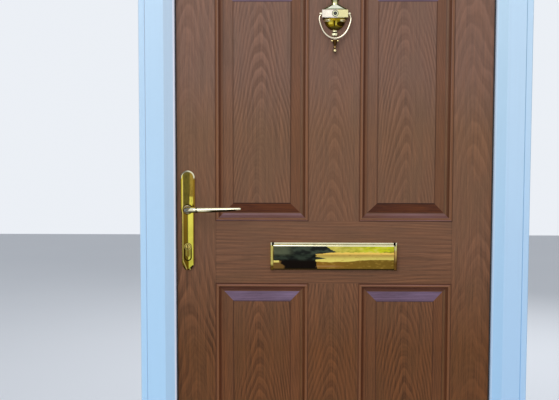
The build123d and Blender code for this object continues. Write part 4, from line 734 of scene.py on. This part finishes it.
slot_finishes = {
    "white_upvc": white_upvc(),
    "oak_skin": oak_grain(),
    "foam": core_foam(),
    "timber": laminated_timber(),
    "galvanised_steel": steel("galvanised_steel", tone(168, 172, 176), 0.32),
    "lock_steel": steel("lock_steel", tone(206, 204, 194), 0.36),
    "gold_brass": polished("gold_brass", plain_gold),
    "hinge_white": hinge_white(),
    "threshold_aluminium": brushed_aluminium(),
    "seal_rubber": seal_rubber(),
    "lens_glass": viewer_glass(),
}
own_brass = {
    "outer_backplate": polished("backplate_brass", backplate_gold),
    "outer_lever": polished("lever_brass", lever_gold),
    "letterplate_frame": polished("letterplate_brass", letterplate_gold),
    "outer_flap": polished("flap_brass", flap_gold, 0.08, 0.06),
    "knocker_body": polished("knocker_brass", knocker_gold),
    "knocker_ring": polished("ring_brass", ring_gold),
    "viewer_barrel": polished("viewer_brass", viewer_gold),
    "cylinder_body": polished("cylinder_brass", cylinder_gold),
    "cylinder_plug": polished("plug_brass", cylinder_gold),
}
for part in frame["record"]["subparts"]:
    node = frame["nodes"][part["node"]]
    node.data.materials.clear()
    node.data.materials.append(own_brass.get(part["node"], slot_finishes[part["material_slot"]]))


def loose_parts(node):
    """The loose parts of a node's mesh, each as a list of its points."""
    bm = bmesh.new()
    bm.from_mesh(node.data)
    bmesh.ops.remove_doubles(bm, verts=bm.verts, dist=0.000002)
    waiting = set(bm.verts)
    parts = []
    while waiting:
        reached = [waiting.pop()]
        part = []
        while reached:
            vertex = reached.pop()
            part.append(vertex.co.copy())
            for link in vertex.link_edges:
                other = link.other_vert(vertex)
                if other in waiting:
                    waiting.remove(other)
                    reached.append(other)
        parts.append(part)
    bm.free()
    return parts


def screw_head(points):
    """The middle of a screw's head, the way it faces and its radius."""
    low = Vector([min(point[way] for point in points) for way in range(3)])
    high = Vector([max(point[way] for point in points) for way in range(3)])
    size = high - low
    along = max(range(3), key=lambda way: size[way])
    middle = (low + high) / 2
    axis = Vector([1.0 if way == along else 0.0 for way in range(3)])
    end_layer = 0.0002

    def radius_at(place):
        ring = [point - middle for point in points if abs(point[along] - place) < end_layer]
        return max((arm - arm.project(axis)).length for arm in ring)

    at_high = radius_at(high[along]) > radius_at(low[along])
    head = middle.copy()
    head[along] = high[along] if at_high else low[along]
    return head, axis if at_high else -axis, radius_at(head[along])


def add_cross(bm, head, facing, radius):
    """A cross recess, drawn as a thin star of painted shade that stands a hair above the screw's head.
    """
    arm = 0.62 * radius
    half_width = 0.15 * radius
    waist = 0.24 * radius
    base_and_top = ((0.00002, 1.0), (0.00010, 0.94))
    outline = []
    for turn in range(4):
        angle = turn * pi / 2
        for x, y in ((arm, -half_width), (arm, half_width), (waist, waist)):
            outline.append((x * cos(angle) - y * sin(angle), x * sin(angle) + y * cos(angle)))
    side = facing.orthogonal().normalized()
    up = facing.cross(side)
    rings = []
    for lift, share in base_and_top:
        rings.append([bm.verts.new(head + facing * lift + side * x * share + up * y * share)
                      for x, y in outline])
    count = len(outline)
    for place in range(count):
        after = (place + 1) % count
        bm.faces.new((rings[0][place], rings[0][after], rings[1][after], rings[1][place]))
    bm.faces.new(rings[1])


def cross_recesses(name, body, finish):
    """The cross recesses of all the screws of one node, as one piece."""
    bm = bmesh.new()
    for points in loose_parts(frame["nodes"][name]):
        add_cross(bm, *screw_head(points))
    bmesh.ops.recalc_face_normals(bm, faces=bm.faces)
    mesh = bpy.data.meshes.new(name + "_crosses")
    bm.to_mesh(mesh)
    bm.free()
    mesh.materials.append(finish)
    piece = bpy.data.objects.new(name + "_crosses", mesh)
    bpy.context.scene.collection.objects.link(piece)
    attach(piece, body)


recess = recess_shade()
cross_recesses("leaf_screws", "leaf", recess)
cross_recesses("through_bolts", "leaf", recess)
cross_recesses("frame_screws", "frame", recess)


def make_floor():
    """A pale floor, far larger than the door."""
    finish = Finish("studio_floor")
    clouds = finish.noise((0.8, 0.8, 0.8), 2)
    colour = clouds.blend(tone(226, 230, 236), tone(232, 235, 240))
    material = finish.done(Base_Color=colour, Roughness=0.85)
    bm = bmesh.new()
    bmesh.ops.create_grid(bm, x_segments=8, y_segments=8, size=9.0)
    mesh = bpy.data.meshes.new("floor")
    bm.to_mesh(mesh)
    bm.free()
    mesh.materials.append(material)
    floor = bpy.data.objects.new("floor", mesh)
    bpy.context.scene.collection.objects.link(floor)


def make_world():
    """An even pale surround, nearly white only where it is seen or mirrored."""
    light_strength = 0.52
    seen_strength = 0.96
    world = bpy.data.worlds.new("studio")
    world.use_nodes = True
    world.node_tree.nodes.clear()
    start = Value(world.node_tree)
    camera = start.node("LightPath", output="Is Camera Ray")
    glossy = start.node("LightPath", output="Is Glossy Ray")
    through = start.node("LightPath", output="Is Transmission Ray")
    seen = camera.at_least(glossy).at_least(through)
    strength = light_strength + seen * (seen_strength - light_strength)
    pale = start.node("Background", None, {"Color": tone(240, 244, 250), "Strength": strength})
    start.node("OutputWorld", None, {"Surface": pale})
    bpy.context.scene.world = world


def make_lamp(name, place, target, size, power, colour=(1.0, 1.0, 1.0), mirrored=True):
    """A large soft panel lamp."""
    lamp = bpy.data.lights.new(name, "AREA")
    lamp.shape = "RECTANGLE"
    lamp.size, lamp.size_y = size
    lamp.energy = power
    lamp.color = colour
    holder = bpy.data.objects.new(name, lamp)
    holder.location = place
    holder.rotation_euler = (Vector(target) - Vector(place)).to_track_quat("-Z", "Y").to_euler()
    holder.visible_glossy = mirrored
    bpy.context.scene.collection.objects.link(holder)


def make_camera():
    """The camera at the photograph's angle."""
    place = (-0.104, -2.180, 1.218)
    pitch = radians(3.98)
    yaw = radians(-0.77)
    roll = radians(0.09)
    ahead = Vector((sin(yaw) * cos(pitch), cos(yaw) * cos(pitch), -sin(pitch)))
    level = Vector((cos(yaw), -sin(yaw), 0.0))
    upright = level.cross(ahead)
    right = level * cos(roll) + upright * sin(roll)
    up = upright * cos(roll) - level * sin(roll)
    lens = bpy.data.cameras.new("camera")
    lens.sensor_width = 36.0
    lens.lens = 57.12
    camera = bpy.data.objects.new("camera", lens)
    turned = Matrix((right, up, -ahead)).transposed().to_4x4()
    camera.matrix_world = Matrix.Translation(place) @ turned
    bpy.context.scene.collection.objects.link(camera)
    bpy.context.scene.camera = camera


make_floor()
make_world()
make_lamp("front_lamp", (-1.4, -3.4, 3.2), (0.0, 0.0, 1.1), (3.0, 2.4), 66.0)
make_lamp("sky_lamp", (0.2, -1.5, 4.4), (0.0, 0.0, 1.2), (3.0, 2.0), 30.0, (0.86, 0.92, 1.0), False)
make_lamp("back_lamp", (1.4, 3.4, 3.0), (0.0, 0.0, 1.1), (3.0, 2.4), 62.0)
make_camera()
bpy.context.scene.view_settings.view_transform = "Standard"
